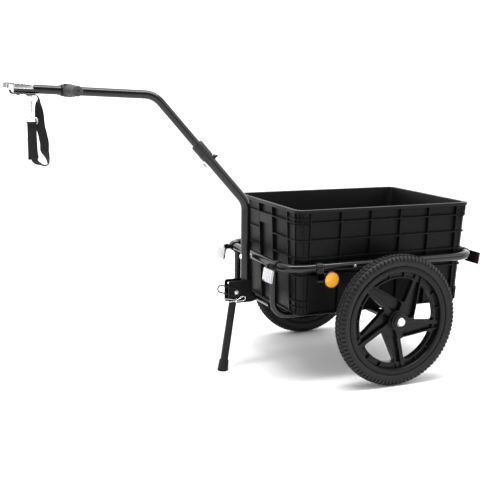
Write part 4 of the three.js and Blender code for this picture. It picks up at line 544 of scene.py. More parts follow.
    @classmethod
    @cache
    def prisms(cls) -> bpy.types.NodeTree:
        """Reflector prisms: cells of uneven tone, times stripes of painted shade 1 - s (0.5 + 0.5 sin(2 pi y
        / 8.5 mm)) for the light and dark of the lens's prism rows.
        """
        tree, given, result = cls.shell("reflector prisms", {
            "Vector": ("NodeSocketVector", None), "Cells": ("NodeSocketFloat", 420.0),
            "Stripes": ("NodeSocketFloat", 0.0),
        }, {"Height": "NodeSocketFloat", "Shade": "NodeSocketFloat"})
        cells, tones = (tree.nodes.new("ShaderNodeTexVoronoi") for _ in range(2))
        cells.feature = "DISTANCE_TO_EDGE"
        for node in (cells, tones):
            tree.links.new(given.outputs["Vector"], node.inputs["Vector"])
            tree.links.new(given.outputs["Cells"], node.inputs["Scale"])
        grey = tree.nodes.new("ShaderNodeSeparateColor")
        tree.links.new(tones.outputs["Color"], grey.inputs[0])
        edge = cls.math(tree, "SMOOTH_MIN", cells.outputs["Distance"], 0.3, 0.2)
        tree.links.new(edge, result.inputs["Height"])
        # Painted shade: sine stripes along Y darken the colour for the light and dark of the lens's prism
        # rows.
        place = cls.split(tree, given.outputs["Vector"])["Y"]
        wave = cls.math(tree, "SINE", cls.math(tree, "MULTIPLY", place, 2 * math.pi / 0.0085))
        painted_stripe = cls.math(tree, "MULTIPLY", cls.math(tree, "MULTIPLY_ADD", wave, 0.5, 0.5),
                          given.outputs["Stripes"])
        tone = cls.math(tree, "MULTIPLY_ADD", grey.outputs["Red"], 0.35, 0.72)
        shade = cls.math(tree, "MULTIPLY", tone, cls.math(tree, "SUBTRACT", 1.0, painted_stripe))
        tree.links.new(shade, result.inputs["Shade"])
        return tree


@dataclass(frozen=True)
class Finish:
    """What a piece is made of, as a node material built from the shared groups."""

    name: str
    slot: str
    colour: tuple[float, float, float]
    gloss: float
    metal: float = 0.0
    coat: float = 0.0
    coat_gloss: float = 0.10
    shade: float = 0.15
    speckle: float = 0.06
    dust: float = 0.06
    grain: float = 600.0
    depth: float = 0.05
    bump: float = 0.25
    weave: float = 0.0
    prisms: float = 0.0
    # stripes: how far the lens colour is darkened in stripes, painted shade of its prism rows
    stripes: float = 0.0
    # painted_glow: emission strength, painted light on a part that is no lamp
    painted_glow: float = 0.0
    specular: float = 0.25

    @staticmethod
    def group(tree: bpy.types.NodeTree, which: bpy.types.NodeTree, **values: object) -> bpy.types.Node:
        """Place a group in the material and set or link its inputs.

        Args:
            tree: the material's nodes.
            which: the group.
            values: a number, colour or socket for each named input.

        Returns:
            The group node.
        """
        node = tree.nodes.new("ShaderNodeGroup")
        node.node_tree = which
        for label, value in values.items():
            if isinstance(value, bpy.types.NodeSocket):
                tree.links.new(value, node.inputs[label])
            else:
                node.inputs[label].default_value = value
        return node

    def material(self) -> bpy.types.Material:
        """The material, made on first use."""
        known = bpy.data.materials.get(self.name)
        if known:
            return known
        material = bpy.data.materials.new(self.name)
        material.use_nodes = True
        tree = material.node_tree
        shader = next(n for n in tree.nodes if n.type == "BSDF_PRINCIPLED")
        shader.inputs["Metallic"].default_value = self.metal
        shader.inputs["Specular IOR Level"].default_value = self.specular
        shader.inputs["Coat Weight"].default_value = self.coat
        shader.inputs["Coat Roughness"].default_value = self.coat_gloss
        where = tree.nodes.new("ShaderNodeTexCoord").outputs
        surface = self.group(tree, Groups.surface(), Vector=where["Object"], Colour=(*self.colour, 1.0),
                             Shade=self.shade, Speckle=self.speckle, Dust=self.dust, Gloss=self.gloss)
        grain = self.group(tree, Groups.grain(), Vector=where["Object"], Scale=self.grain)
        colour, height = surface.outputs["Colour"], grain.outputs["Height"]
        pattern = None
        if self.weave > 0:
            pattern = self.group(tree, Groups.weave(), Place=where["UV"], Pitch=self.weave)
        elif self.prisms > 0:
            pattern = self.group(tree, Groups.prisms(), Vector=where["Object"], Cells=self.prisms,
                                 Stripes=self.stripes)
        if pattern:
            # The pattern's Shade scales the colour: painted shade of the weave's hollows, or of the lens's
            # prism stripes.
            colour, height = Groups.scaled(tree, colour, pattern.outputs["Shade"]), pattern.outputs["Height"]
        bump = tree.nodes.new("ShaderNodeBump")
        bump.inputs["Strength"].default_value = self.bump
        bump.inputs["Distance"].default_value = self.depth * MILLIMETRE
        tree.links.new(height, bump.inputs["Height"])
        tree.links.new(colour, shader.inputs["Base Color"])
        tree.links.new(surface.outputs["Roughness"], shader.inputs["Roughness"])
        tree.links.new(bump.outputs["Normal"], shader.inputs["Normal"])
        # Painted glow: the lens emits light of its own colour though it is no lamp.
        if self.painted_glow > 0:
            tree.links.new(colour, shader.inputs["Emission Color"])
            shader.inputs["Emission Strength"].default_value = self.painted_glow
        return material


PAINT = Finish("black powder coat", "black_paint", (0.0040, 0.0038, 0.0041), 0.30, coat=0.55, depth=0.03,
               bump=0.12, dust=0.0, specular=0.08)
SATIN_PAINT = Finish("satin black powder coat", "black_paint", (0.0080, 0.0075, 0.0080), 0.38, bump=0.3,
                     dust=0.02, specular=0.16)
TUB = Finish("moulded tub plastic", "tub_plastic", (0.0052, 0.0046, 0.0053), 0.42, depth=0.06, grain=900,
             bump=0.3, dust=0.01, specular=0.11)
WHEEL = Finish("moulded wheel plastic", "wheel_plastic", (0.0046, 0.0041, 0.0044), 0.30, depth=0.04,
               grain=800, dust=0.02, specular=0.18)
TYRE = Finish("tyre rubber", "tyre_rubber", (0.0094, 0.0095, 0.0106), 0.60, depth=0.12, grain=500, shade=0.25,
              speckle=0.2, bump=0.5, dust=0.04)
RUBBER = Finish("black rubber", "rubber", (0.0085, 0.0085, 0.0090), 0.75, depth=0.1, bump=0.4, dust=0.04)
GRIP = Finish("soft grip rubber", "grip_rubber", (0.043, 0.041, 0.043), 0.62, depth=0.12, grain=420,
              speckle=0.2, bump=0.6)
ZINC = Finish("bright zinc plate", "zinc", (0.80, 0.80, 0.82), 0.22, metal=1.0, shade=0.06, depth=0.02,
              grain=700, specular=0.5)
WHITE_ZINC = Finish("pale cast zinc", "zinc", (0.72, 0.72, 0.70), 0.34, metal=0.45, shade=0.08, depth=0.03,
                    specular=0.4)
STEEL = Finish("plain steel", "steel", (0.42, 0.42, 0.44), 0.34, metal=1.0, shade=0.12, depth=0.03,
               specular=0.5)
# The webbing's weave darkens its colour in the hollows and lightens it on the yarns: painted shade.
WEBBING = Finish("woven webbing", "webbing", (0.0060, 0.0057, 0.0066), 0.80, depth=0.35, weave=0.0016,
                 bump=0.8, dust=0.0)
PLASTIC = Finish("black trim plastic", "black_plastic", (0.0048, 0.0046, 0.0050), 0.36, dust=0.02)
BRACKET_PAINT = Finish("dull black bracket paint", "black_paint", (0.0030, 0.0028, 0.0030), 0.45, bump=0.3,
                       dust=0.0, specular=0.12)
COLLAR_PLASTIC = Finish("grey collar plastic", "black_plastic", (0.0150, 0.0142, 0.0150), 0.42, depth=0.06,
                        dust=0.03)
# The amber lens has painted glow: it emits a little light though it is a reflector, not a lamp.
AMBER = Finish("amber lens", "amber_lens", (0.94, 0.41, 0.03), 0.18, coat=0.6, prisms=520, depth=0.5,
               bump=0.5, painted_glow=0.12)
# The clear and red lenses carry stripes of painted shade for their prism rows.
CLEAR = Finish("clear lens", "clear_lens", (0.66, 0.66, 0.69), 0.16, coat=0.6, prisms=480, stripes=0.55,
               depth=0.5, bump=0.5)
RED = Finish("red lens", "red_lens", (0.36, 0.012, 0.014), 0.18, coat=0.6, prisms=520, stripes=0.25,
             depth=0.5, bump=0.5)


@dataclass
class Tub:
    """The tub: a tapered wall whose ribs, columns and cells are a height over its perimeter and its depth.

    Rows are how far a point stands out from the wall, and its height over the tub's bottom or, at the lip,
    its depth under the top.
    """

    centre: float = 5.0
    half_length: float = 290.0
    half_width: float = 215.0
    bottom: float = 209.59
    top: float = 525.59
    taper: float = 14.0
    corner: float = 26.0
    wall: float = 3.0
    floor: float = 4.0
    rim_height: float = 9.0
    rib: float = 9.0
    rib_half: float = 1.5
    rib_side: float = 0.4
    bay: float = 100.6
    bays: int = 5
    rib_drop: float = 38.0
    rib_pitch: float = 52.5
    level_ribs: int = 4
    end_ribs: tuple[float, float] = (48.0, 155.0)
    hold_heights: tuple[float, float] = (340.0, 450.0)
    ledge_height: float = 457.6
    column: float = 4.0
    flute: float = 6.5
    cell: float = 8.0
    cell_bars: tuple = (15, 45, 75)
    cell_half: float = 1.0
    foot_cells: tuple[float, float] = (44.0, 25.0)
    rim_cells: tuple[float, float] = (43.0, 26.0)
    inward: float = -60.0
    floor_rows: tuple = ((-60, 4.0), (-9, 4.1), (-5, 5.0), (-3.6, 7.0), (-3.0, 11.0))
    lip_rows: tuple = ((8.4, 0), (9.4, 0.3), (10, 1.2), (10, 8.0), (9.5, 9.0))
    foot_rows: tuple = ((5.0, 5.0), (5.4, 4.2), (5.4, 1.2), (4.6, 0.3), (3.6, 0.0), (-60, 0.0))
    arc_stops: tuple = (0, 6, 12.2, 13, 17, 17.8, 24, 30, 36, 42.2, 43, 47, 47.8, 54, 60, 66, 72.2, 73, 77,
                        77.8, 84, 90)
    plain_stops: tuple = (237, 237.6, 322, 322.6, 362, 362.6, 457, 457.6)

    def inset(self, z: Array) -> Array:
        """How far the wall has drawn in at a height: the taper times the share of the depth."""
        return self.taper * (self.top - z) / (self.top - self.bottom)

    @property
    def rib_levels(self) -> Array:
        """Heights of the level ribs."""
        return self.top - self.rib_drop - self.rib_pitch * np.arange(self.level_ribs)

    @property
    def cell_levels(self) -> list[float]:
        """Heights of the level bars of the small cells at the foot and under the rim."""
        return [self.bottom + up for up in self.foot_cells] + [self.top - down for down in self.rim_cells]

    @staticmethod
    def sides_of(places: Array | list, half: float, side: float) -> list:
        """The four stops of each rib: its face's two edges, and its feet a little beyond them."""
        return [place + shift for place in places for shift in (-half - side, -half, half, half + side)]

    def perimeter(self) -> tuple[Array, Array, Array, Array, Array]:
        """Stations round the tub, close together where a rib or cell has its sides.

        Returns:
            Base points with the wall's inset left out, outward normals, how the taper moves each station, the
            side (0 and 2 long, 1 and 3 short) and the place along it, with a corner's angle as sides 4 to 7.
        """
        x_ribs = (np.arange(self.bays + 1) - self.bays / 2) * self.bay
        y_ribs = [sign * rib for rib in self.end_ribs for sign in (-1, 1)]
        long_end = self.half_length - self.corner - self.taper - 4
        short_end = self.half_width - self.corner - self.taper - 1
        long_stops, short_stops = (np.sort(self.sides_of(ribs, self.rib_half, self.rib_side) + [-end, end])
                                   for ribs, end in ((x_ribs, long_end), (y_ribs, short_end)))
        arc = np.radians(np.array(self.arc_stops))
        points, normals, moves, sides, along = [], [], [], [], []
        heading = [(0, -1), (1, 0), (0, 1), (-1, 0)]
        for side, (nx, ny) in enumerate(heading):
            stops = long_stops if side % 2 == 0 else short_stops
            run = stops if side in (0, 1) else -stops
            fixed = np.full_like(run, ny * self.half_width if ny else nx * self.half_length)
            after = heading[(side + 1) % 4]
            cx, cy = nx + after[0], ny + after[1]
            middle = np.array([cx * (self.half_length - self.corner), cy * (self.half_width - self.corner)])
            spread = np.cos(arc)[:, None] * np.array([nx, ny]) + np.sin(arc)[:, None] * np.array(after)
            points += [np.stack([run, fixed] if ny else [fixed, run], axis=1), middle + self.corner * spread]
            normals += [np.tile([nx, ny], (len(run), 1)), spread]
            moves += [np.tile([nx, ny], (len(run), 1)), np.tile([cx, cy], (len(arc), 1))]
            sides += [np.full(len(run), side), np.full(len(arc), 4 + side)]
            along += [run, np.degrees(arc)]
        return tuple(np.concatenate(part) for part in (points, normals, moves, sides, along))

    def levels(self) -> Array:
        """Heights of the grid's rows between the base and the rim, close together at the ribs and cells."""
        stops = [self.bottom + 5.6, self.bottom + 6.2, self.bottom + 26, self.top - self.rim_height - 0.3]
        stops += self.sides_of(self.rib_levels, self.rib_half, self.rib_side)
        stops += self.sides_of(self.cell_levels, self.cell_half, self.rib_side)
        return np.unique(np.round(np.array([*stops, *self.plain_stops]), 3))

    def relief(self, side: Array, along: Array, z: Array) -> Array:
        """How far the outside stands out from the wall, over the perimeter (rows) and the height (columns).

        It is the greatest of: the corner columns with their cells and flutes, the level ribs except where the
        short sides have their hand holds, the upright ribs, and the ledge under the top rib there.
        """
        side, along, z = side[:, None], along[:, None], z[None, :]
        near = lambda value, at, half: np.abs(value - at) <= half + 1e-6
        is_long, is_short, is_arc = (side == 0) | (side == 2), (side == 1) | (side == 3), side >= 4
        half, away = self.rib_half, np.abs(along)
        beyond = (is_long & (away > self.bays * self.bay / 2)) | (is_short & (away > self.end_ribs[1]))
        column = is_arc | beyond
        bars = is_arc & (np.abs(along - np.array(self.cell_bars)[:, None, None]) <= 2.0 + 1e-6).any(axis=0)
        bars = np.broadcast_to(bars, (len(side), z.shape[1]))
        for level in self.cell_levels:
            bars = bars | (column & near(z, level, self.cell_half))
        low, high = self.bottom + self.foot_cells[0], self.top - self.rim_cells[0]
        ends = (z <= low + self.cell_half) | (z >= high - self.cell_half)
        flute = is_arc & (near(along, self.cell_bars[0], 2.0) | near(along, self.cell_bars[-1], 2.0))
        between = is_short & (away < self.end_ribs[0] - half)
        hold = between & (z > self.hold_heights[0]) & (z < self.hold_heights[1])
        ledge = between & (z >= self.ledge_height) & (z <= self.top - self.rib_drop)
        layers = [(column, self.column), (bars & ends, self.cell), (flute, self.flute),
                  (ledge, self.rib - 0.6)]
        layers += [(near(z, level, half) & ~hold, self.rib - 0.3) for level in self.rib_levels]
        layers += [(is_long & near(along, (i - self.bays / 2) * self.bay, half), self.rib)
                   for i in range(self.bays + 1)]
        layers += [(is_short & near(away, place, half), self.rib) for place in self.end_ribs]
        out = np.zeros((len(side), z.shape[1]))
        for where, height in layers:
            out = np.maximum(out, np.where(where, height, 0.0))
        return out

    def ring(self, stations: tuple, out: Array, z: Array) -> Array:
        """Points at heights z: base - inset times move + out times move, or normal where out is 0 or less."""
        base, normal, move = stations
        away = np.where(out[..., None] > 0, move[:, None], normal[:, None])
        flat = base[:, None] - self.inset(z)[..., None] * move[:, None] + out[..., None] * away
        flat = flat + np.array([self.centre, 0.0])
        return np.concatenate([flat, np.broadcast_to(z, flat.shape[:2])[..., None]], axis=2)

    def build(self) -> None:
        """Make the tub as one closed shell: floor, inside, rim, ribbed outside and underside."""
        *stations, side, along = self.perimeter()
        height = self.top - self.bottom
        floor, lip, foot = (np.array(rows) for rows in (self.floor_rows, self.lip_rows, self.foot_rows))
        inner_out = np.concatenate([floor[:, 0], np.full(6, -self.wall), [-2.7, -1.8]])
        inner_z = self.bottom + np.concatenate([floor[:, 1], np.linspace(40, height - 2, 6),
                                                [height - 0.6, height]])
        levels = self.levels()[::-1]
        inner, lip_out, foot_out = (np.tile(row, (len(side), 1))
                                    for row in (inner_out, lip[:, 0], foot[:, 0]))
        out = np.concatenate([inner, lip_out, self.relief(side, along, levels), foot_out], axis=1)
        z = np.concatenate([inner_z, self.top - lip[:, 1], levels, self.bottom + foot[:, 1]])
        skin = Skin().grid(self.ring(stations, out, z[None, :]), rows=True, columns=False, caps=False)
        for level, way in ((self.bottom + self.floor, 1), (self.bottom, -1)):
            skin.grid(self.plate(stations, level, way), columns=False, caps=False)
        skin.build("tub", TUB, "cargo_box", sharp=30)

    def plate(self, stations: tuple, z: float, way: int) -> Array:
        """The flat middle of the floor inside the wall's foot, a grid of its perimeter shrunk to a line."""
        outline = self.ring(stations, np.full((len(stations[0]), 1), self.inward), np.array([[z]]))[:, 0]
        spine = outline.copy()
        spine[:, 0] = np.clip(spine[:, 0], self.centre - 150, self.centre + 150)
        spine[:, 1] = 0
        grid = np.stack([outline, spine])
        return np.concatenate([grid, grid[:, :1]], axis=1)[:, ::way]


@dataclass
class FrameTubes:
    """The hoop round the tub, the two legs under it, the cross tube and the axle tube.

    The tables are profiles: rows of radius and height along their axis.
    """

    hoop_radius: float = 12.5
    hoop_height: float = 358.0
    hoop_reach: float = 326.0
    hoop_half: float = 229.9
    hoop_bend: float = 62.0
    leg_radius: float = 10.0
    leg_half: float = 139.0
    leg_bend: float = 48.0
    leg_height: float = 199.29
    leg_clearance: float = 0.4
    cross_height: float = 232.0
    axle_radius: float = 11.0
    axle_half: float = 270.2
    screw_x: float = -110.0
    leg_weld: tuple = ((10.0, -5.5), (12.3, -1.5), (12.6, 0.6), (10.4, 0.8))
    cross_weld: tuple = ((10.0, 5.5), (12.2, 1.4), (12.4, 0.2), (10.0, 0.1))
    screw_head: tuple = ((0, 2.4), (2.4, 2.2), (4.2, 1.0), (4.5, 0.0), (4.5, -0.8), (0, -0.8))

    def build(self) -> None:
        """Make the tubes and the heads of the screws that hold the hoop."""
        x, y, z = self.hoop_reach, self.hoop_half, self.hoop_height
        loop = bent([(-x, -y, z), (x, -y, z), (x, y, z), (-x, y, z)], [self.hoop_bend] * 4, closed=True,
                    step=5)
        Skin().grid(tube(loop, UP, self.hoop_radius, closed=True), rows=True).build(
            "hoop", PAINT, "hoop_tube")
        for side in Side:
            self.leg(side)
            head = vec(self.screw_x, side.value * (y + self.hoop_radius + GAP), z)
            Skin().lathe(self.screw_head, head, side.out, 24).build(
                f"{side.word}_hoop_screw_head", ZINC, f"{side.word}_hoop_screw")
        self.cross_tube()
        half, middle = ACROSS * self.axle_half, UP * AXLE_Z
        Skin().grid(bar(middle - half, middle + half, self.axle_radius, 0.5)).build(
            "axle", PAINT, "axle_tube")

    def leg(self, side: Side) -> None:
        """Make one leg: down from the hoop, round a bend and back to the axle tube, with a weld on top."""
        y, top = side.value * self.leg_half, self.hoop_height - self.hoop_radius - GAP
        corners = [(-self.hoop_reach, y, top), (-self.hoop_reach, y, self.leg_height),
                   (-self.axle_radius - self.leg_clearance, y, self.leg_height)]
        path = bent(corners, [0, self.leg_bend, 0], step=5)
        Skin().grid(tube(path, ACROSS, self.leg_radius)).lathe(
            self.leg_weld, vec(-self.hoop_reach, y, self.hoop_height - self.hoop_radius + 0.2), UP, 32).build(
            f"{side.word}_leg", PAINT, f"{side.word}_frame_leg")

    def cross_tube(self) -> None:
        """Make the lower cross tube between the legs, with a weld at either end."""
        middle = vec(-self.hoop_reach, 0, self.cross_height)
        half = self.leg_half - self.leg_radius - GAP
        skin = Skin().grid(bar(middle - ACROSS * half, middle + ACROSS * half, self.leg_radius, 0.3))
        for side in Side:
            skin.lathe(self.cross_weld, middle + side.out * half, -side.out, 32)
        skin.build("cross_tube", PAINT, "lower_cross_tube")


@dataclass
class Drawbar:
    """The cranked drawbar with its collar, bolts and T handle.

    The tables whose names end in rows are profiles: radius and height along their axis.
    """

    line: float = -357.3
    knee_height: float = 524.7
    knee_bend: float = 62.0
    rise: float = math.radians(48.3)
    neck_reach: float = 287.0
    neck_bend: float = 70.0
    tip_reach: float = 680.0
    slope: float = math.radians(2.4)
    foot: float = 230.0
    lower_radius: float = 14.5
    upper_radius: float = 12.5
    overlap: float = 40.0
    collar_at: float = 213.0
    collar_rows: tuple = ((14.9, 0), (17.2, 0), (18.3, 2.5), (18.5, 4), (18.5, 19), (17.7, 20), (17.7, 22),
                          (18.5, 23), (18.5, 49), (17.6, 52.8), (15.5, 54), (12.8, 54))
    bolt_before_collar: float = 38.0
    bolt_radius: float = 3.0
    bolt_end: float = 25.6
    head_radius: float = 7.2
    head_height: float = 5.0
    washer_rows: tuple = ((0, -14.4), (8.0, -14.4), (8.0, -15.6), (0, -15.6))
    wing_corners: tuple = ((-15, 3), (-13, 10.6), (-8.5, 10.6), (-5.8, 5.5), (5.8, 5.5), (8.5, 10.6),
                           (13, 10.6), (15, 3), (6, 0.1), (-6, 0.1))
    wing_bends: tuple = (1.5, 2.2, 2.2, 3, 3, 2.2, 2.2, 1.5, 2, 2)
    wing_half: float = 2.4
    nut_rows: tuple = ((3.2, 0.1), (6.6, 0.1), (6.6, 2), (5.4, 6.4), (4.6, 7.2), (3.2, 7.2))
    hoop_bolt_height: float = 358.0
    hoop_bolt_rows: tuple = ((0, 4.4), (3, 4.2), (6.4, 2.4), (7.6, 0.6), (8.0, 0.0), (8.0, -0.2), (0, -0.2))
    spacer_radius: float = 8.0
    spacer_length: float = 4.0
    handle_at: float = 534.0
    handle_half: float = 126.0
    handle_radius: float = 9.0
    sleeve_rows: tuple = ((12.8, -20), (15.4, -20), (16.4, -18.6), (16.5, -17.5), (16.5, 17.5), (16.4, 18.6),
                          (15.4, 20), (12.8, 20))
    socket_rows: tuple = ((8.8, 14.5), (13.6, 14.5), (14.0, 16), (12.0, 17.2), (9.0, 17.8))
    ear: tuple[float, float, float] = (20.0, 30.0, 5.0)
    ear_at: tuple[float, float, float] = (-1.0, 0.0, 15.8)
    grip_start: float = 24.3
    grip_flange_rows: tuple = ((9.3, 0), (17.0, 0), (18.0, 1.0), (18.0, 3.0), (17.0, 4.2), (14.8, 7.5),
                               (14.5, 9))
    grip_ripple_rows: tuple = ((14.5, 0), (13.9, 0.8), (13.9, 2.2), (14.5, 3.0))
    grip_end_rows: tuple = ((14.5, 101), (14.0, 105), (12.2, 107.4), (9, 108), (4.2, 108), (3.4, 106.4),
                            (0, 106.4))
    ripple_start: float = 14.0
    ripple_pitch: float = 7.0
    ripples: int = 12

    @property
    def knee(self) -> Array:
        """Where the upright run meets the rising one."""
        return vec(self.line, 0, self.knee_height)

    @property
    def up(self) -> Array:
        """Direction of the rising run."""
        return vec(-math.cos(self.rise), 0, math.sin(self.rise))

    @property
    def level(self) -> Array:
        """Direction of the nearly level run."""
        return vec(-math.cos(self.slope), 0, math.sin(self.slope))

    @property
    def neck(self) -> Array:
        """Where the rising run meets the level one."""
        return self.on_rise(self.neck_reach / math.cos(self.rise))

    @property
    def tip(self) -> Array:
        """The front end of the upper tube's middle line."""
        return self.neck + self.level * (self.tip_reach - self.neck_reach)

    def on_rise(self, distance: float) -> Array:
        """The point of the rising run at a distance from the knee."""
        return self.knee + self.up * distance

    def build(self) -> None:
        """Make the two tubes, then the collar, the bolt through the hoop and the handle."""
        low = bent([(self.line, 0, self.foot), self.knee, self.on_rise(self.collar_at)],
                   [0, self.knee_bend, 0], step=4)
        high = bent([self.on_rise(self.collar_at - self.overlap), self.neck, self.tip],
                    [0, self.neck_bend, 0], step=4)
        for word, path, radius in (("lower", low, self.lower_radius), ("upper", high, self.upper_radius)):
            Skin().grid(tube(path, ACROSS, radius, sides=36)).build(
                f"drawbar_{word}_tube", PAINT, f"drawbar_{word}")
        self.collar()
        seat, height = self.lower_radius + GAP, UP * self.hoop_bolt_height
        Skin().lathe(self.hoop_bolt_rows, height + BACK * (self.line - seat), -BACK, 32).grid(
            bar(height + BACK * (self.line + seat), height + BACK * (self.line + seat + self.spacer_length),
                self.spacer_radius, 0.3)).build("hoop_bolt_head", WHITE_ZINC, "hoop_bolt")
        self.handle()

    def collar(self) -> None:
        """Make the collar over the lower tube's end, and its bolt, washer and wing nut."""
        start = self.on_rise(self.collar_at - self.collar_rows[-1][1] / 2)
        Skin().lathe(self.collar_rows, start, self.up, 48, ring=True).build(
            "collar", COLLAR_PLASTIC, "drawbar_collar")
        normal = vec(self.up[2], 0, -self.up[0])
        at, seat = self.on_rise(self.collar_at - self.bolt_before_collar), self.lower_radius + GAP
        face = at + normal * seat
        head = slab(hexagon(self.head_radius), at - normal * (seat + self.head_height + 0.5), self.up,
                    ACROSS, 0.0, self.head_height, 0.6)
        shank = bar(face, at + normal * self.bolt_end, self.bolt_radius)
        Skin().grid(head).lathe(self.washer_rows, at, normal, 28).grid(shank).build(
            "collar_bolt_head", STEEL, "collar_bolt")
        wing = bent(list(self.wing_corners), list(self.wing_bends), closed=True, step=20)
        Skin().grid(slab(wing, face, ACROSS, normal, -self.wing_half, self.wing_half, 0.8)).lathe(
            self.nut_rows, face, normal, 28, ring=True).build("collar_wing", PLASTIC, "collar_wing_nut")

    def handle(self) -> None:
        """Make the T handle: a clamp sleeve on the tube, a crossbar and two ribbed grips."""
        centre = self.neck + self.level * (self.handle_at - self.neck_reach)
        half = ACROSS * self.handle_half
        skin = Skin().lathe(self.sleeve_rows, centre, -self.level, 44, ring=True).grid(
            bar(centre - half, centre + half, self.handle_radius))
        for side in Side:
            skin.lathe(self.socket_rows, centre, side.out, 40, ring=True)
        skin.grid(slab(rectangle(*self.ear), centre + vec(*self.ear_at), -self.level, ACROSS, -1.5, 2.4, 0.8))
        skin.build("handle_crossbar", SATIN_PAINT, "handle_bar")
        shifts = self.ripple_start + self.ripple_pitch * np.arange(self.ripples)
        ripples = [(radius, height + shift) for shift in shifts for radius, height in self.grip_ripple_rows]
        rows = np.concatenate([self.grip_flange_rows, ripples, self.grip_end_rows])
        for side in Side:
            Skin().lathe(rows, centre + side.out * self.grip_start, side.out, 48).build(
                f"{side.word}_grip", GRIP, f"{side.word}_handle_grip")


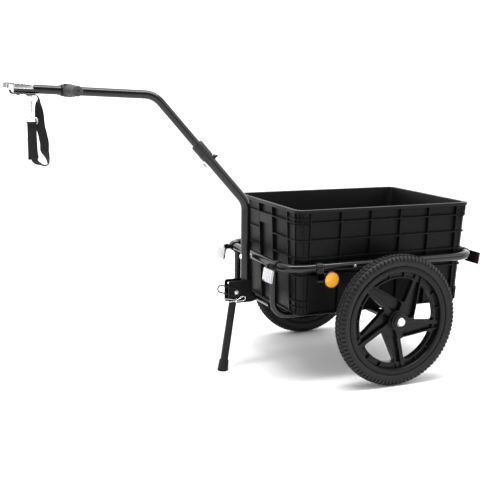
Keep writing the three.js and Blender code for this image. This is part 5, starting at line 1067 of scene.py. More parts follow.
@dataclass
class Coupling:
    """The plated coupling over the tube's end, with its bolts, lower tongue, lug, ring and hook.

    Its own axes start at the tip of the drawbar's middle line, with X back along the tube. Rows are radius
    and height.
    """

    bar: Drawbar = field(default_factory=Drawbar)
    overhang: float = 34.0
    length: float = 84.0
    plate: float = 2.5
    skirt: float = 16.0
    inner_bend: float = 4.0
    outer_bend: float = 5.5
    eye: float = 4.5
    socket: float = 9.0
    rail: tuple[float, float, float] = (26.0, 3.0, 1.2)
    rail_behind_eye: float = 16.0
    rail_heights: tuple[float, float] = (-7.0, -0.3)
    bolts: tuple[float, float] = (12.0, 40.0)
    bolt_radius: float = 3.0
    bolt_rows: tuple = ((0, 3.2), (2.6, 3.1), (4.4, 2.0), (5.0, 0.6), (5.0, 0.1), (0, 0.1))
    nut_radius: float = 5.4
    tongue: float = 3.0
    tongue_half: float = 11.0
    tongue_tail: float = 18.0
    webbing: float = 1.6
    lug: float = 2.0
    lug_offset: float = 6.3
    lug_hole: float = 2.1
    lug_drop: float = 5.0
    ring_wire: float = 1.3
    ring_half: float = 13.0
    hook_reach: float = 44.0
    hook_bow: float = 5.5
    hook_wire: float = 1.9
    hook_boss_rows: tuple = ((0.0, 0.2), (2.2, 0.2), (4.6, 1.2), (5.4, 3.2), (6.4, 5.2), (9.0, 7.6),
                             (9.2, 8.6), (8.2, 9.4), (0.0, 9.4))
    hook_boss_share: float = 0.42
    hook_neck: float = 9.0
    gate_wire: float = 1.6
    gate_heights: tuple[float, float] = (1.0, 13.7)
    loop_half: float = 15.0
    loop_heights: tuple[float, float] = (-2.0, -18.0)
    post_rows: tuple = ((0, -3), (3.4, -3), (3.6, -0.6), (2.3, 0), (2.2, 4.0), (0, 4.0))

    @property
    def turn(self) -> Array:
        """Columns that turn the coupling's own axes into the trailer's."""
        return np.stack([-self.bar.level, ACROSS, np.cross(-self.bar.level, ACROSS)], axis=1)

    @property
    def seat(self) -> float:
        """Height of the plate's underside over the tube's middle line."""
        return self.bar.upper_radius + GAP

    @property
    def lug_seat(self) -> float:
        """Height of the lug's upper face, under the tongue and the strap's end."""
        return -self.seat - self.tongue - GAP - self.webbing - GAP

    @property
    def lug_place(self) -> tuple[float, float]:
        """Where the lug's eye is along the tube, and its height."""
        return self.bolts[1] + self.lug_offset, self.lug_seat - self.lug_drop

    def placed(self, point: Array) -> Array:
        """A point of the coupling's own axes in the trailer's."""
        return self.bar.tip + self.turn @ point

    def fit(self, skin: "Skin") -> "Skin":
        """A skin made in the coupling's own axes, turned into the trailer's."""
        return skin.mapped(self.turn, self.bar.tip)

    def build(self) -> None:
        """Make the plated head, its bolts, the tongue and the lug, then what hangs below."""
        self.head()
        self.bolts_and_tongue()
        self.lug_plate()
        self.ring_and_hook()

    def head(self) -> None:
        """Make the head: a channel over the tube, a round nose with the eye, its socket and two rails."""
        top, wide = self.seat + self.plate, self.seat + self.plate
        edge, low = 0.8, self.seat + self.plate - self.skirt
        corners = [(-wide, low), (-self.seat, low), (-self.seat, self.seat), (self.seat, self.seat),
                   (self.seat, low), (wide, low), (wide, top), (-wide, top)]
        bends = [edge, edge, self.inner_bend, self.inner_bend, edge, edge, self.outer_bend, self.outer_bend]
        section = bent(corners, bends, closed=True, step=15)
        back = self.length - self.overhang
        small = eased(section, 0.5)
        stations = ((0.0, small), (edge, section), (back - edge, section), (back, small))
        shell = np.stack([np.concatenate([np.full((len(flat), 1), x), flat], axis=1) for x, flat in stations])
        nose_half = self.seat
        nose = bent([(8, -nose_half), (8, nose_half), (-self.overhang, nose_half),
                     (-self.overhang, -nose_half)], [1, 1, nose_half - 0.2, nose_half - 0.2], closed=True,
                    step=8)
        eye_x = nose_half - self.overhang
        socket = [(self.eye, 0), (self.socket - 0.4, 0), (self.socket, -0.5), (self.socket, 0.6 - self.skirt),
                  (self.socket - 0.5, -self.skirt), (self.eye, -self.skirt)]
        skin = Skin().grid(shell).grid(holed(nose, np.array([eye_x, 0.0]), self.eye, vec(0, 0, 0), BACK,
                                             ACROSS, top - self.plate, top), rows=True)
        skin.lathe(socket, vec(eye_x, 0, top), UP, 40, ring=True)
        low, high = top + self.rail_heights[0], top + self.rail_heights[1]
        for side in Side:
            at = vec(eye_x + self.rail_behind_eye, side.value * (nose_half - self.rail[2]), 0)
            skin.grid(slab(rectangle(*self.rail), at, BACK, ACROSS, low, high, 0.4))
        self.fit(skin).build("coupling_plate", ZINC, "coupling_head")

    def bolts_and_tongue(self) -> None:
        """Make the two bolts through the head and the black tongue under the tube."""
        floor, top = -self.seat, self.seat + self.plate
        low = floor - self.tongue
        ends = (low - 4.0, self.lug_seat - self.lug - 1.0)
        for place, end, word in zip(self.bolts, ends, ("front", "rear")):
            skin = Skin().lathe(self.bolt_rows, vec(place, 0, top + 0.2), UP, 28).grid(
                bar(vec(place, 0, end), vec(place, 0, low - 0.2), self.bolt_radius, 0.5))
            if word == "front":
                skin.grid(slab(hexagon(self.nut_radius), BACK * place, BACK, ACROSS, end + 0.8, end + 3.6,
                               0.4))
            self.fit(skin).build(f"coupling_{word}_bolt_head", STEEL, f"coupling_{word}_bolt")
        side = bent([(self.bolts[1] + self.tongue_tail, low), (self.bolts[1] + self.tongue_tail, floor),
                     (0, floor), (-4.5, floor + 1.5), (-9, floor + 9), (-12, floor + 9), (-9, floor - 1.5),
                     (-4.5, low)], [1, 0.6, 6, 4, 0.8, 0.8, 5, 6], closed=True, step=12)
        tongue = slab(side, vec(0, 0, 0), BACK, UP, -self.tongue_half, self.tongue_half, 0.8)
        self.fit(Skin().grid(tongue)).build("coupling_tongue_plate", SATIN_PAINT, "coupling_tongue")

    def lug_plate(self) -> None:
        """Make the lug on the rear bolt: a flat plate and an ear with the hole for the ring."""
        seat, rim = self.lug_seat, 3.9
        lug_x, hole = self.lug_place
        plan = rectangle(12 + 3, 12, 1.5, (self.bolts[1] + 1.5, 0))
        ear = bent([(-rim, seat - 0.4), (-rim, hole - rim), (rim, hole - rim), (rim, seat - 0.4)],
                   [0.5, rim - 0.1, rim - 0.1, 0.5], closed=True, step=15)
        ear_grid = holed(ear, np.array([0, hole]), self.lug_hole, BACK * lug_x, ACROSS, UP, -1.5, 1.5)
        self.fit(Skin().grid(slab(plan, vec(0, 0, 0), BACK, ACROSS, seat - self.lug, seat, 0.4)).grid(
            ear_grid, rows=True)).build("strap_lug_plate", ZINC, "strap_lug")

    def ring_and_hook(self) -> None:
        """Make the D ring, the snap hook with its gate, and the swivel with its strap loop."""
        lug_x, hole = self.lug_place
        at, wire, half = self.placed(vec(lug_x, 0, hole)), self.ring_wire, self.ring_half
        flat = half - 1.8
        dee = bent([(-half + wire, 0, 0), (-half + wire, 0, -flat), (half - wire, 0, -flat),
                    (half - wire, 0, 0)], [1.6, half - wire - 0.4, half - wire - 0.4, 1.6], closed=True,
                   step=8)
        still = np.eye(3)
        Skin().grid(tube(dee, ACROSS, wire, closed=True, sides=14), rows=True).mapped(still, at).build(
            "dee_ring", ZINC, "strap_ring")
        origin = vec(at[0], 0, at[2] - half + 3 * wire + 1.0)
        thick, reach = self.hook_wire, self.hook_reach
        side, base = self.hook_bow + thick, self.hook_neck - reach
        line = bent([(0, -side + 0.2, base + 2.2), (0, -side, -self.hook_bow), (0, -side, thick),
                     (0, side, thick), (0, side, -side), (0, side, base + 16.2)],
                    [0, 3, side - 0.3, side - 0.3, 3, 0], step=9)
        widths = np.interp(np.linspace(0, 1, len(line)), [0, 0.1, 0.9, 1], [thick + 0.2, thick, thick, thick])
        boss = turned(self.hook_boss_rows, -UP * reach, UP, 32)
        boss[..., 0] *= self.hook_boss_share
        Skin().grid(tube(line, BACK, widths, sides=16)).grid(boss, rows=True, columns=False).mapped(
            still, origin).build("snap_hook", ZINC, "hook_body", body=Body.HOOK)
        low, high = (vec(0, side, base + height) for height in self.gate_heights)
        Skin().grid(bar(low, high, self.gate_wire, 0.5, 16)).mapped(still, origin).build(
            "snap_gate", STEEL, "hook_gate", body=Body.GATE)
        top, wide = -reach - GAP, self.loop_half
        high, low = (top + height for height in self.loop_heights)
        loop = bent([(-wide, 0, high), (wide, 0, high), (wide, 0, low), (-wide, 0, low)], [6, 6, 4, 4],
                    closed=True, step=10)
        Skin().grid(tube(loop, ACROSS, thick, closed=True, sides=14), rows=True).lathe(
            self.post_rows, UP * top, UP, 24).mapped(still, origin).build("swivel_loop", ZINC, "hook_swivel")
        Strap(self, origin + UP * low).build()


@dataclass
class Strap:
    """The webbing: sewn round the swivel's lower bar, down to a fold and up again under the coupling.

    The way is its free part. Each row has how far back it is as a share of the reach, how far down as a share
    of the drop, how far to the right as a share of the sway, and the turn of its width in degrees.
    """

    coupling: Coupling
    bar: Array
    width: float = 25.0
    thick: float = 1.6
    bar_wire: float = 4.0
    drop: float = 115.0
    reach: float = 40.0
    sway: float = 6.0
    way: tuple = ((0, 0.55, -0.3, 0), (0.04, 0.72, -0.6, 6), (0.16, 0.86, -0.9, 32), (0.42, 0.935, -0.5, 64),
                  (0.75, 0.985, 0, 72), (1, 0.965, 0.3, 70), (1.03, 0.86, 0.6, 62), (0.95, 0.74, 0.8, 42),
                  (0.83, 0.62, 0.9, 10), (0.83, 0.47, 1, 4), (0.72, 0.25, 1, 0), (0.62, 0.1, 1, -4),
                  (0.57, -0.06, 1, -8), (0.54, -0.24, 0.9, -25), (0.49, -0.44, 0.5, -58))

    def line(self) -> tuple[Array, Array]:
        """The middle line and the direction of the width, smooth through the chosen places."""
        wrap, layer = self.bar_wire * math.sqrt(0.5) + GAP + self.thick, self.thick / 2 + GAP
        x, z = self.bar[0], self.bar[2]
        places = [(x, layer, z - 0.85 * self.drop, 0.0), (x, layer, z - 40, 0.0),
                  (x, layer, z - 2 * wrap, 0.0)]
        places += [(x, wrap * math.cos(a), z + wrap * math.sin(a), 0.0) for a in np.linspace(0, np.pi, 7)]
        places += [(x, -layer, z - 2 * wrap, 0.0)]
        for back, down, sway, turn in self.way:
            places.append((x + back * self.reach, sway * self.sway - layer, z - down * self.drop, turn))
        seat = -self.coupling.seat - self.coupling.tongue - GAP - self.thick / 2
        start = self.coupling.bolts[1] + self.coupling.tongue_tail
        for back, low in ((2 * wrap, 2 * wrap), (wrap, wrap / 4), (0, 0), (-12, 0), (-24, 0)):
            places.append((*self.coupling.placed(vec(start + back, 0, seat - low)), -90.0))
        smooth = curved(places, 150)
        turn = np.radians(smooth[:, 3])
        return smooth[:, :3], np.stack([np.cos(turn), np.sin(turn), np.zeros_like(turn)], axis=1)

    def build(self) -> None:
        """Make the band: section points w across and t through it are carried along the line."""
        path, across = self.line()
        along = headings(path)
        side = unit(across - np.sum(across * along, axis=1, keepdims=True) * along)
        face = np.cross(along, side)
        half, thin = self.width / 2, self.thick / 2
        w = np.array([-half, -half + 0.5, -half * 0.5, 0, half * 0.5, half - 0.5, half, half - 0.5,
                      half * 0.5, 0, -half * 0.5, -half + 0.5])
        t = thin * np.repeat([0, -1, 0, 1], [1, 5, 1, 5])
        grid = path[:, None] + w[None, :, None] * side[:, None] + t[None, :, None] * face[:, None]
        length = np.concatenate([[0], np.cumsum(np.linalg.norm(np.diff(path, axis=0), axis=1))])
        places = np.stack(np.broadcast_arrays((w[None, :] + half) * MILLIMETRE,
                                              length[:, None] * MILLIMETRE), axis=-1)
        band = Skin().grid(grid, places=places).build("strap_band", WEBBING, "safety_strap", sharp=50)


@dataclass
class Stand:
    """The folding stand: bracket on the drawbar's foot, leg with rubber foot, pivot, lock pin, clip and ring.

    The rows are profiles of radius and height. The clip's places are x and z from the lock pin's middle.
    """

    line: float = -357.3
    pivot_x: float = -393.3
    pivot_z: float = 250.0
    fold: float = math.radians(142.0)
    lean: float = math.radians(8.5)
    pin_drop: float = 27.0
    hole: float = 3.3
    inner: float = 14.8
    plate: float = 3.5
    nose: float = 62.0
    behind: float = 14.5
    tab_x: float = -321.0
    heights: tuple[float, float] = (216.0, 286.0)
    tab_heights: tuple[float, float, float] = (222.0, 232.0, 252.0)
    bends: tuple = (6, 3, 2, 2, 5, 4, 8)
    leg_radius: float = 12.0
    leg_stations: tuple = (-12.0, -11.4, -9.0, 10.0, 22.0)
    leg_slimmer: tuple = (3.0, 0.8, 0.1, 0, 0, 0)
    foot_radius: float = 16.5
    foot_rows: tuple = ((0, -5), (12.3, -5), (12.3, -31), (13.4, -31.8), (14.4, -31), (14.9, -28),
                        (15.4, -18), (15.7, -17.6), (15.7, -15.6), (15.5, -15.2), (16.0, -8), (16.3, 0),
                        (16.3, 5.5), (0, 5.5))
    pivot_rows: tuple = ((0, 4.0), (3.2, 3.8), (6.0, 2.4), (6.8, 0.8), (6.8, 0.1), (0, 0.1))
    pivot_radius: float = 4.0
    nut_radius: float = 7.2
    nut_height: float = 4.8
    pin_radius: float = 3.0
    pin_reach: float = 9.0
    pin_rows: tuple = ((0, 3.0), (3, 2.9), (5.4, 2), (6, 0.8), (6, 0.0), (0, 0.0))
    clip_wire: float = 1.2
    clip_places: tuple = ((-36, -0.2), (-20, 0), (0, 0), (14, 0), (22, 0.3), (30, 3), (31.5, 9), (27, 13.2),
                          (20, 11.5), (12, 7.5), (6, 5.0), (0, 4.6), (-6, 5.2), (-18, 7.8), (-36, 10.8))
    ring_wire: float = 2.2
    ring_length: float = 80.0
    ring_height: float = 26.0
    ring_lift: float = math.radians(17.0)

    @property
    def outer(self) -> float:
        """How far the bracket's outer faces are from the middle."""
        return self.inner + self.plate

    @property
    def pivot(self) -> Array:
        """The middle of the pivot bolt."""
        return vec(self.pivot_x, 0, self.pivot_z)

    @property
    def down(self) -> Array:
        """Direction from the pivot to the foot."""
        return vec(-math.sin(self.lean), 0, -math.cos(self.lean))

    def build(self) -> None:
        """Make the bracket, the leg and its foot, the pins, the clip and the ring."""
        self.bracket()
        self.leg()
        self.bolts()
        self.clip()
        self.ring()

    def bracket(self) -> None:
        """Make the two cheeks, each with the hole that takes the lock pin when the leg is up, and the web."""
        x, _, z = self.down * self.pin_drop
        stow = self.pivot + vec(math.cos(self.fold) * x + math.sin(self.fold) * z, 0,
                                math.cos(self.fold) * z - math.sin(self.fold) * x)
        nose, back = self.line - self.nose, self.line + self.behind
        bottom, top = self.heights
        low, mid, high = self.tab_heights
        corners = [(nose, bottom), (back, bottom), (self.tab_x, low), (self.tab_x, mid), (back, high),
                   (back, top), (nose, top)]
        outline = self.resampled(bent(corners, list(self.bends), closed=True, step=12))
        skin = Skin()
        for base in (-self.outer, self.inner):
            skin.grid(holed(outline, np.array([stow[0], stow[2]]), self.hole, ACROSS * (base + self.plate),
                            BACK, UP, 0, self.plate), rows=True)
        reach = self.outer - 0.5
        skin.grid(block(vec(self.line, -reach, bottom), vec(back, reach, bottom + self.plate)))
        skin.build("stand_bracket_plates", BRACKET_PAINT, "stand_bracket")

    @staticmethod
    def resampled(outline: Array, count: int = 96) -> Array:
        """A closed outline with even steps and its corners kept close: points at equal lengths along it."""
        loop = np.vstack([outline, outline[:1]])
        length = np.concatenate([[0], np.cumsum(np.linalg.norm(np.diff(loop, axis=0), axis=1))])
        wanted = np.sort(np.concatenate([np.linspace(0, length[-1], count, endpoint=False), length[:-1]]))
        wanted = wanted[np.concatenate([[True], np.diff(wanted) > 0.2])]
        return np.stack([np.interp(wanted, length, loop[:, 0]), np.interp(wanted, length, loop[:, 1])],
                        axis=1)

    def leg(self) -> None:
        """Make the leg tube with its pressed head and the rubber foot, flat where it stands."""
        reach = self.pivot_z / math.cos(self.lean) - self.foot_radius * math.tan(self.lean)
        path = self.pivot + np.array([*self.leg_stations, reach - 5.5])[:, None] * self.down
        Skin().grid(tube(path, ACROSS, self.leg_radius - np.array(self.leg_slimmer), sides=36)).build(
            "stand_tube", SATIN_PAINT, "stand_leg", body=Body.STAND)
        foot = turned(self.foot_rows, self.pivot + self.down * reach, self.down, 56)
        share = np.where(foot[..., 2] < 0, foot[..., 2] / self.down[2], 0.0)
        Skin().grid(foot - share[..., None] * self.down, rows=True, columns=False).build(
            "stand_rubber_foot", RUBBER, "stand_foot", body=Body.STAND)

    def bolts(self) -> None:
        """Make the pivot bolt and its nut, and the lock pin."""
        pivot, pin, outer = self.pivot, self.pivot + self.down * self.pin_drop, ACROSS * self.outer
        Skin().lathe(self.pivot_rows, pivot - outer - ACROSS * 0.2, -ACROSS, 36).grid(
            bar(pivot - ACROSS * 14, pivot + outer + ACROSS * 5.8, self.pivot_radius)).build(
            "pivot_bolt", WHITE_ZINC, "stand_pivot_bolt")
        nut = slab(hexagon(self.nut_radius), pivot + outer + ACROSS * GAP, UP, BACK, 0, self.nut_height, 0.6)
        Skin().grid(nut).build("pivot_nut", ZINC, "stand_pivot_nut")
        shank = bar(pin - outer - ACROSS * (GAP + self.pin_reach), pin + outer + ACROSS * 0.6,
                    self.pin_radius, 0.9)
        Skin().grid(shank).lathe(self.pin_rows, pin + outer + ACROSS * GAP, ACROSS, 32).build(
            "lock_pin", ZINC, "stand_lock_pin")

    def clip(self) -> None:
        """Make the spring clip: a wire through its places, half way out along the lock pin's end."""
        pin = self.pivot + self.down * self.pin_drop
        flat = np.array(self.clip_places)
        line = np.full(len(flat), -self.outer - GAP - self.pin_reach / 2)
        wire = curved(np.stack([pin[0] + flat[:, 0], line, pin[2] + flat[:, 1]], axis=1), 90)
        Skin().grid(tube(wire, ACROSS, self.clip_wire, sides=12)).build("spring_clip", ZINC, "lock_pin_clip")

    def ring(self) -> None:
        """Make the pull ring: a long loop hung on the pivot bolt, its far end lifted."""
        wire, high, long = self.ring_wire, self.ring_height, self.ring_length
        flat = rectangle(long - 2 * wire, high - 2 * wire, high / 2 - wire - 0.1, ((high - long) / 2, 0))
        cos, sin = math.cos(self.ring_lift), math.sin(self.ring_lift)
        flat = flat @ np.array([[cos, -sin], [sin, cos]])
        loop = np.stack([self.pivot[0] + flat[:, 0], np.full(len(flat), -self.outer - GAP - wire),
                         self.pivot[2] + flat[:, 1]], axis=1)
        Skin().grid(tube(loop, ACROSS, wire, closed=True, sides=16), rows=True).build(
            "pull_loop", PLASTIC, "lock_pull_ring")


@dataclass
class Reflectors:
    """The round side reflectors and the four oblong end ones, each with its band round the hoop."""

    hoop: FrameTubes = field(default_factory=FrameTubes)
    lens_width: float = 65.0
    lens_height: float = 37.0
    lens_y: float = 188.5
    tilt: float = math.radians(8.0)
    band_thick: float = 3.0
    band_width: float = 20.0
    side_x: float = -190.0
    side_drop: float = 35.0
    side_stand_off: float = 15.8
    clamp_x: float = -225.0
    cup_rows: tuple = ((0, 0), (23.5, 0), (25.3, 1.2), (25.5, 2.2), (25.5, 6.2), (24.8, 7.0), (23.4, 7.0),
                       (22.8, 6.4), (22.8, 2.7), (0, 2.7))
    lens_radius: float = 22.4
    lens_height_at_middle: float = 6.0
    lens_fall: float = 0.9
    facet_depth: float = 0.56
    facet_half: float = 0.06
    crown: tuple[float, float, float] = (4.0, 4.0, 1.35)
    groove: tuple[float, float] = (0.7, 1.2)
    rim_fall: float = 1.2
    bolt_rows: tuple = ((0, 2.6), (3.0, 2.3), (3.6, 1.0), (3.6, 0), (0, 0))
    screw_rows: tuple = ((0, 3), (3.2, 2.6), (3.8, 1.2), (3.8, 0), (0, 0))

    def build(self) -> None:
        """Make all six reflectors: the front ones stand 38 mm off the hoop's line, the rear ones 25 mm."""
        for side in Side:
            self.side_reflector(side)
            self.end_reflector("front", -1, 38.0, 21.0, side, CLEAR)
            self.end_reflector("rear", 1, 25.0, 14.0, side, RED)

    def band(self, at: Array, axis: Array) -> Array:
        """A band round the hoop tube: a rounded section turned about the tube's line."""
        low, half = self.hoop.hoop_radius + GAP, self.band_width / 2
        high = low + self.band_thick
        profile = [(low, -half), (high - 0.8, -half), (high, -half + 0.8), (high, half - 0.8),
                   (high - 0.8, half), (low, half)]
        return turned(profile, at, axis, 44)

    def side_reflector(self, side: Side) -> None:
        """Make one round reflector: a dished housing, a faceted lens and the clamp that holds them."""
        sign, hoop = side.value, self.hoop
        face = sign * (hoop.hoop_half + self.side_stand_off)
        x, z, clamp, high = self.side_x, hoop.hoop_height - self.side_drop, self.clamp_x, hoop.hoop_height
        skin = Skin().lathe(self.cup_rows, vec(x, face, z), side.out, 64)
        skin.grid(self.band(vec(clamp, sign * hoop.hoop_half, high), BACK), rows=True)
        near, far = sorted((face - sign * 3.0, face + sign * 3.0))
        skin.grid(block(vec(clamp - 10, near, z - 6), vec(x - 12, far, high - 14)))
        skin.grid(block(vec(clamp - 10, near, z), vec(clamp + 10, far, high - 2)))
        skin.lathe(self.bolt_rows, vec(clamp, face + sign * 3.0, high - 11), side.out, 20)
        skin.build(f"{side.word}_side_housing", PLASTIC, f"{side.word}_side_reflector_housing")
        angle = np.linspace(0, 2 * np.pi, 96, endpoint=False)
        spread, turn = np.meshgrid(np.linspace(0.5, self.lens_radius, 12), angle, indexing="ij")
        facet = np.abs(((turn / (np.pi / 3)) % 1.0) - 0.5)
        ridge = self.facet_depth * np.maximum(1 - facet / self.facet_half, 0)
        height = self.lens_height_at_middle - self.lens_fall * (spread / self.lens_radius) ** 2 - ridge
        front = np.stack([x + spread * np.cos(turn), face + sign * height, z + spread * np.sin(turn)],
                         axis=-1)
        back = front[-1:].copy()
        back[..., 1] = face + sign * 3.0
        Skin().grid(np.concatenate([front, back])).build(
            f"{side.word}_side_lens", AMBER, f"{side.word}_side_reflector_lens")

    def end_reflector(self, end: str, way: int, stand_off: float, drop: float, side: Side,
                      lens: Finish) -> None:
        """Make one oblong reflector: crowned lens, back plate, arm and the band round the hoop.

        Args:
            end: front or rear.
            way: -1 in front and 1 behind.
            stand_off: from the hoop's middle line to the lens's back.
            drop: from the hoop's middle line down to the lens's middle.
            side: which side of the trailer.
            lens: the lens's finish.
        """
        hoop, half_width, half_height = self.hoop, self.lens_width / 2, self.lens_height / 2
        back_x = way * (hoop.hoop_reach + stand_off)
        middle = vec(back_x, side.value * self.lens_y, hoop.hoop_height - drop)
        up = vec(math.sin(self.tilt), 0, math.cos(self.tilt))
        out = way * unit(np.cross(ACROSS, up))
        yy, zz = np.meshgrid(np.linspace(-half_width, half_width, 41),
                             np.linspace(-half_height, half_height, 13), indexing="ij")
        low, rise, steep = self.crown
        deep, wide = self.groove
        crown = low + rise * np.clip(steep * (1 - np.abs(yy) / half_width), 0, 1)
        groove = deep * np.exp(-((np.abs(yy) - half_width / 4) / wide) ** 2)
        edge = np.minimum(half_width - np.abs(yy), half_height - np.abs(zz))
        height = (crown - groove) - self.rim_fall * np.exp(-edge)
        base = middle + yy[..., None] * ACROSS + zz[..., None] * up
        face, base = base + height[..., None] * out, base + GAP * out
        rim = np.stack([self.border(base), self.border(face)])
        skin = Skin().grid(face, columns=False, caps=False).grid(base, columns=False, caps=False)
        word = f"{end}_{side.word}"
        skin.grid(rim, caps=False).build(f"{word}_lens", lens, f"{word}_reflector_lens", sharp=28)
        plate = rectangle(self.lens_width, self.lens_height, 4.0)
        skin = Skin().grid(slab(plate, middle, ACROSS, np.cross(out, ACROSS), -3.0, 0.0, 0.7))
        clamp_y, top = side.value * (hoop.hoop_half - hoop.hoop_bend), hoop.hoop_height + 7.0
        skin.grid(self.band(vec(way * hoop.hoop_reach, clamp_y, hoop.hoop_height), ACROSS), rows=True)
        low_x, high_x = sorted((way * (hoop.hoop_reach + 15.2), back_x - way * 2.0))
        skin.grid(block(vec(low_x, clamp_y - 6, top - 14), vec(high_x, clamp_y + 6, top)))
        hang = sorted((back_x - way * 3.0, back_x - way * 9.0))
        skin.grid(block(vec(hang[0], clamp_y - 6, middle[2] + half_height / 2),
                        vec(hang[1], clamp_y + 6, top)))
        skin.lathe(self.screw_rows, vec((low_x + high_x) / 2, clamp_y, top - 0.2), UP, 20)
        skin.build(f"{word}_housing", PLASTIC, f"{word}_reflector_housing")

    @staticmethod
    def border(grid: Array) -> Array:
        """The points round the edge of a grid, in order."""
        return np.concatenate([grid[:-1, 0], grid[-1, :-1], grid[1:, -1][::-1], grid[0, 1:][::-1]])


@dataclass
class Wheel:
    """One wheel: knobbed tyre, moulded rim with a ribbed channel, five grooved spokes, hub and axle cap.

    It is made as the right wheel, with Y outwards. Rows are the radius and the place along the axle.
    """

    side: Side
    track: float = 601.0
    tread: float = 198.2
    lugs: int = 90
    window: float = 128.0
    tip: float = 56.0
    start: float = math.radians(55.0)
    span: float = math.radians(58.0)
    corner: float = 9.0
    half: float = 9.5
    hollow: float = -3.0
    back_hollow: float = -7.5
    straight_wall: float = 12.5
    slanting_wall: float = 6.5
    web_end: float = 25.0
    lead: tuple = (145.9, 139.0, 132.6)
    spokes: int = 5
    rib_turns: tuple[float, float] = (76.9, 96.9)
    rib: tuple[float, float, float] = (15.0, 3.0, 0.8)
    rib_radius: float = 139.0
    rib_half: float = 11.5
    edge_width: float = 4.4
    cap_rows: tuple = ((0, 34.6), (1.8, 34.6), (2.3, 35.6), (5.2, 36.1), (8.8, 35.4), (11.4, 33.4),
                       (12.4, 31.2), (12.5, 30.4), (10.6, 26.6), (0, 26.6))
    casing_rows: tuple = ((155.0, 14.6), (160.0, 15.0), (164.6, 15.6), (166.2, 19.6), (172.0, 21.8),
                          (179.0, 22.3), (185.0, 20.8), (189.6, 17.2), (192.6, 12.0), (194.0, 6.0),
                          (194.3, 0.0))
    lining_rows: tuple = ((155.0, -12.0), (188.0, -14.0), (191.0, 0.0), (188.0, 14.0), (155.0, 12.0))
    lug_parts: tuple = (0.0, 0.05, 0.31, 0.57, 0.62, 0.81)
    lug_share: tuple[float, float] = (0.04, 0.58)
    lug_height: float = 3.6
    shoulder: tuple[float, float] = (182.0, 12.6)
    block_height: float = 3.9
    block_band: tuple[float, float] = (1.6, 10.6)
    wall_ribs: tuple = ((176.5, 0.9), (168.0, 0.7))
    wall_rib_height: float = 0.5
    casing_middle: float = 175.0
    rim_rows: tuple = ((129.4, 3.4), (130.0, 4.0), (145.2, 4.0), (145.8, 4.6), (145.8, 13.2), (146.3, 16.0),
                       (147.8, 18.0), (150.2, 18.9), (158.4, 19.0), (161.2, 18.7), (162.6, 17.8),
                       (163.0, 16.4), (154.2, 14.2), (150.2, 8.0))
    hub_rows: tuple = ((14.4, 25.8), (14.4, 29.2), (15.2, 30.0), (21.6, 30.0), (22.6, 29.2), (22.8, 26.4),
                       (23.6, 25.6), (27.0, 25.4), (28.0, 24.4), (28.0, 14.6), (30.0, 12.6))

    @property
    def body(self) -> Body:
        """The body that the wheel is."""
        return Body.LEFT_WHEEL if self.side is Side.LEFT else Body.RIGHT_WHEEL

    @property
    def step(self) -> float:
        """The angle from one spoke to the next."""
        return 2 * math.pi / self.spokes

    def fit(self, skin: Skin) -> Skin:
        """A skin made in the wheel's own axes, at its place: half a turn about Z on the left."""
        turn = np.diag([self.side.value, self.side.value, 1.0])
        return skin.mapped(turn, self.side.out * self.track / 2 + UP * AXLE_Z)

    def build(self) -> None:
        """Make the tyre, the disc and the axle cap."""
        self.tyre()
        self.disc()
        word = self.side.word
        self.fit(Skin().lathe(self.cap_rows, np.zeros(3), ACROSS, 48)).build(
            f"{word}_axle_cap", WHITE_ZINC, f"{word}_axle_bolt")

    def tyre(self) -> None:
        """Make the tyre: its casing turned about the axle, raised by the height of its lugs and blocks.

        The casing is a smooth curve from bead to crown. Over the angle u, in lug pitches, and the width y, a
        shoulder lug stands where the fraction of u is in the lug's share, and a crown block where the
        fraction of u plus a half is, in two rows with gaps between them. Two thin ribs run round each wall.
        """
        half = list(self.casing_rows)
        casing = curved(half + [(r, -y) for r, y in half[-2::-1]], 77)
        heading = headings(casing)
        normal = np.stack([-heading[:, 1], heading[:, 0]], axis=1)
        outward = casing - np.array([self.casing_middle, 0.0])
        normal *= np.sign(np.sum(normal * outward, axis=1, keepdims=True))
        parts, pitches = np.array(self.lug_parts), np.arange(self.lugs)[:, None]
        u = np.sort(np.concatenate([(pitches + parts).ravel(), (pitches + (parts + 0.5) % 1.0).ravel()]))
        u = u[np.concatenate([[True], np.diff(u) > 1e-3])]
        y, radius = casing[:, 1], casing[:, 0]
        (share_from, share_to), (block_from, block_to) = self.lug_share, self.block_band
        raised_at = lambda phase: ((phase % 1.0) > share_from) & ((phase % 1.0) < share_to)
        shoulder = (radius > self.shoulder[0]) & (np.abs(y) > self.shoulder[1])
        inner_row = (np.abs(y) > block_from) & (np.abs(y) < block_to)
        lug = raised_at(u)[:, None] & shoulder[None, :]
        crown = raised_at(u + 0.5)[:, None] & inner_row[None, :]
        wall = sum(self.wall_rib_height * np.exp(-((radius - at) / wide) ** 2) for at, wide in self.wall_ribs)
        lift = np.where(lug, self.lug_height, 0.0) + np.where(crown, self.block_height, 0.0) + wall[None, :]
        section = casing[None] + lift[..., None] * normal[None]
        section[..., 0] = np.minimum(section[..., 0], self.tread)
        lining = np.tile(np.array(self.lining_rows), (len(u), 1, 1))
        section = np.concatenate([section, lining], axis=1)
        angle = 2 * np.pi * u[:, None] / self.lugs
        spread = np.cos(angle) * BACK + np.sin(angle) * UP
        word = self.side.word
        grid = section[..., :1] * spread[:, None] + section[..., 1:] * ACROSS
        self.fit(Skin().grid(grid, rows=True)).build(
            f"{word}_tyre_casing", TYRE, f"{word}_tyre", body=self.body, sharp=40)

    @staticmethod
    def polar(radius: float, angle: float) -> Array:
        """The point at a radius and an angle."""
        return np.array([radius * math.cos(angle), radius * math.sin(angle)])

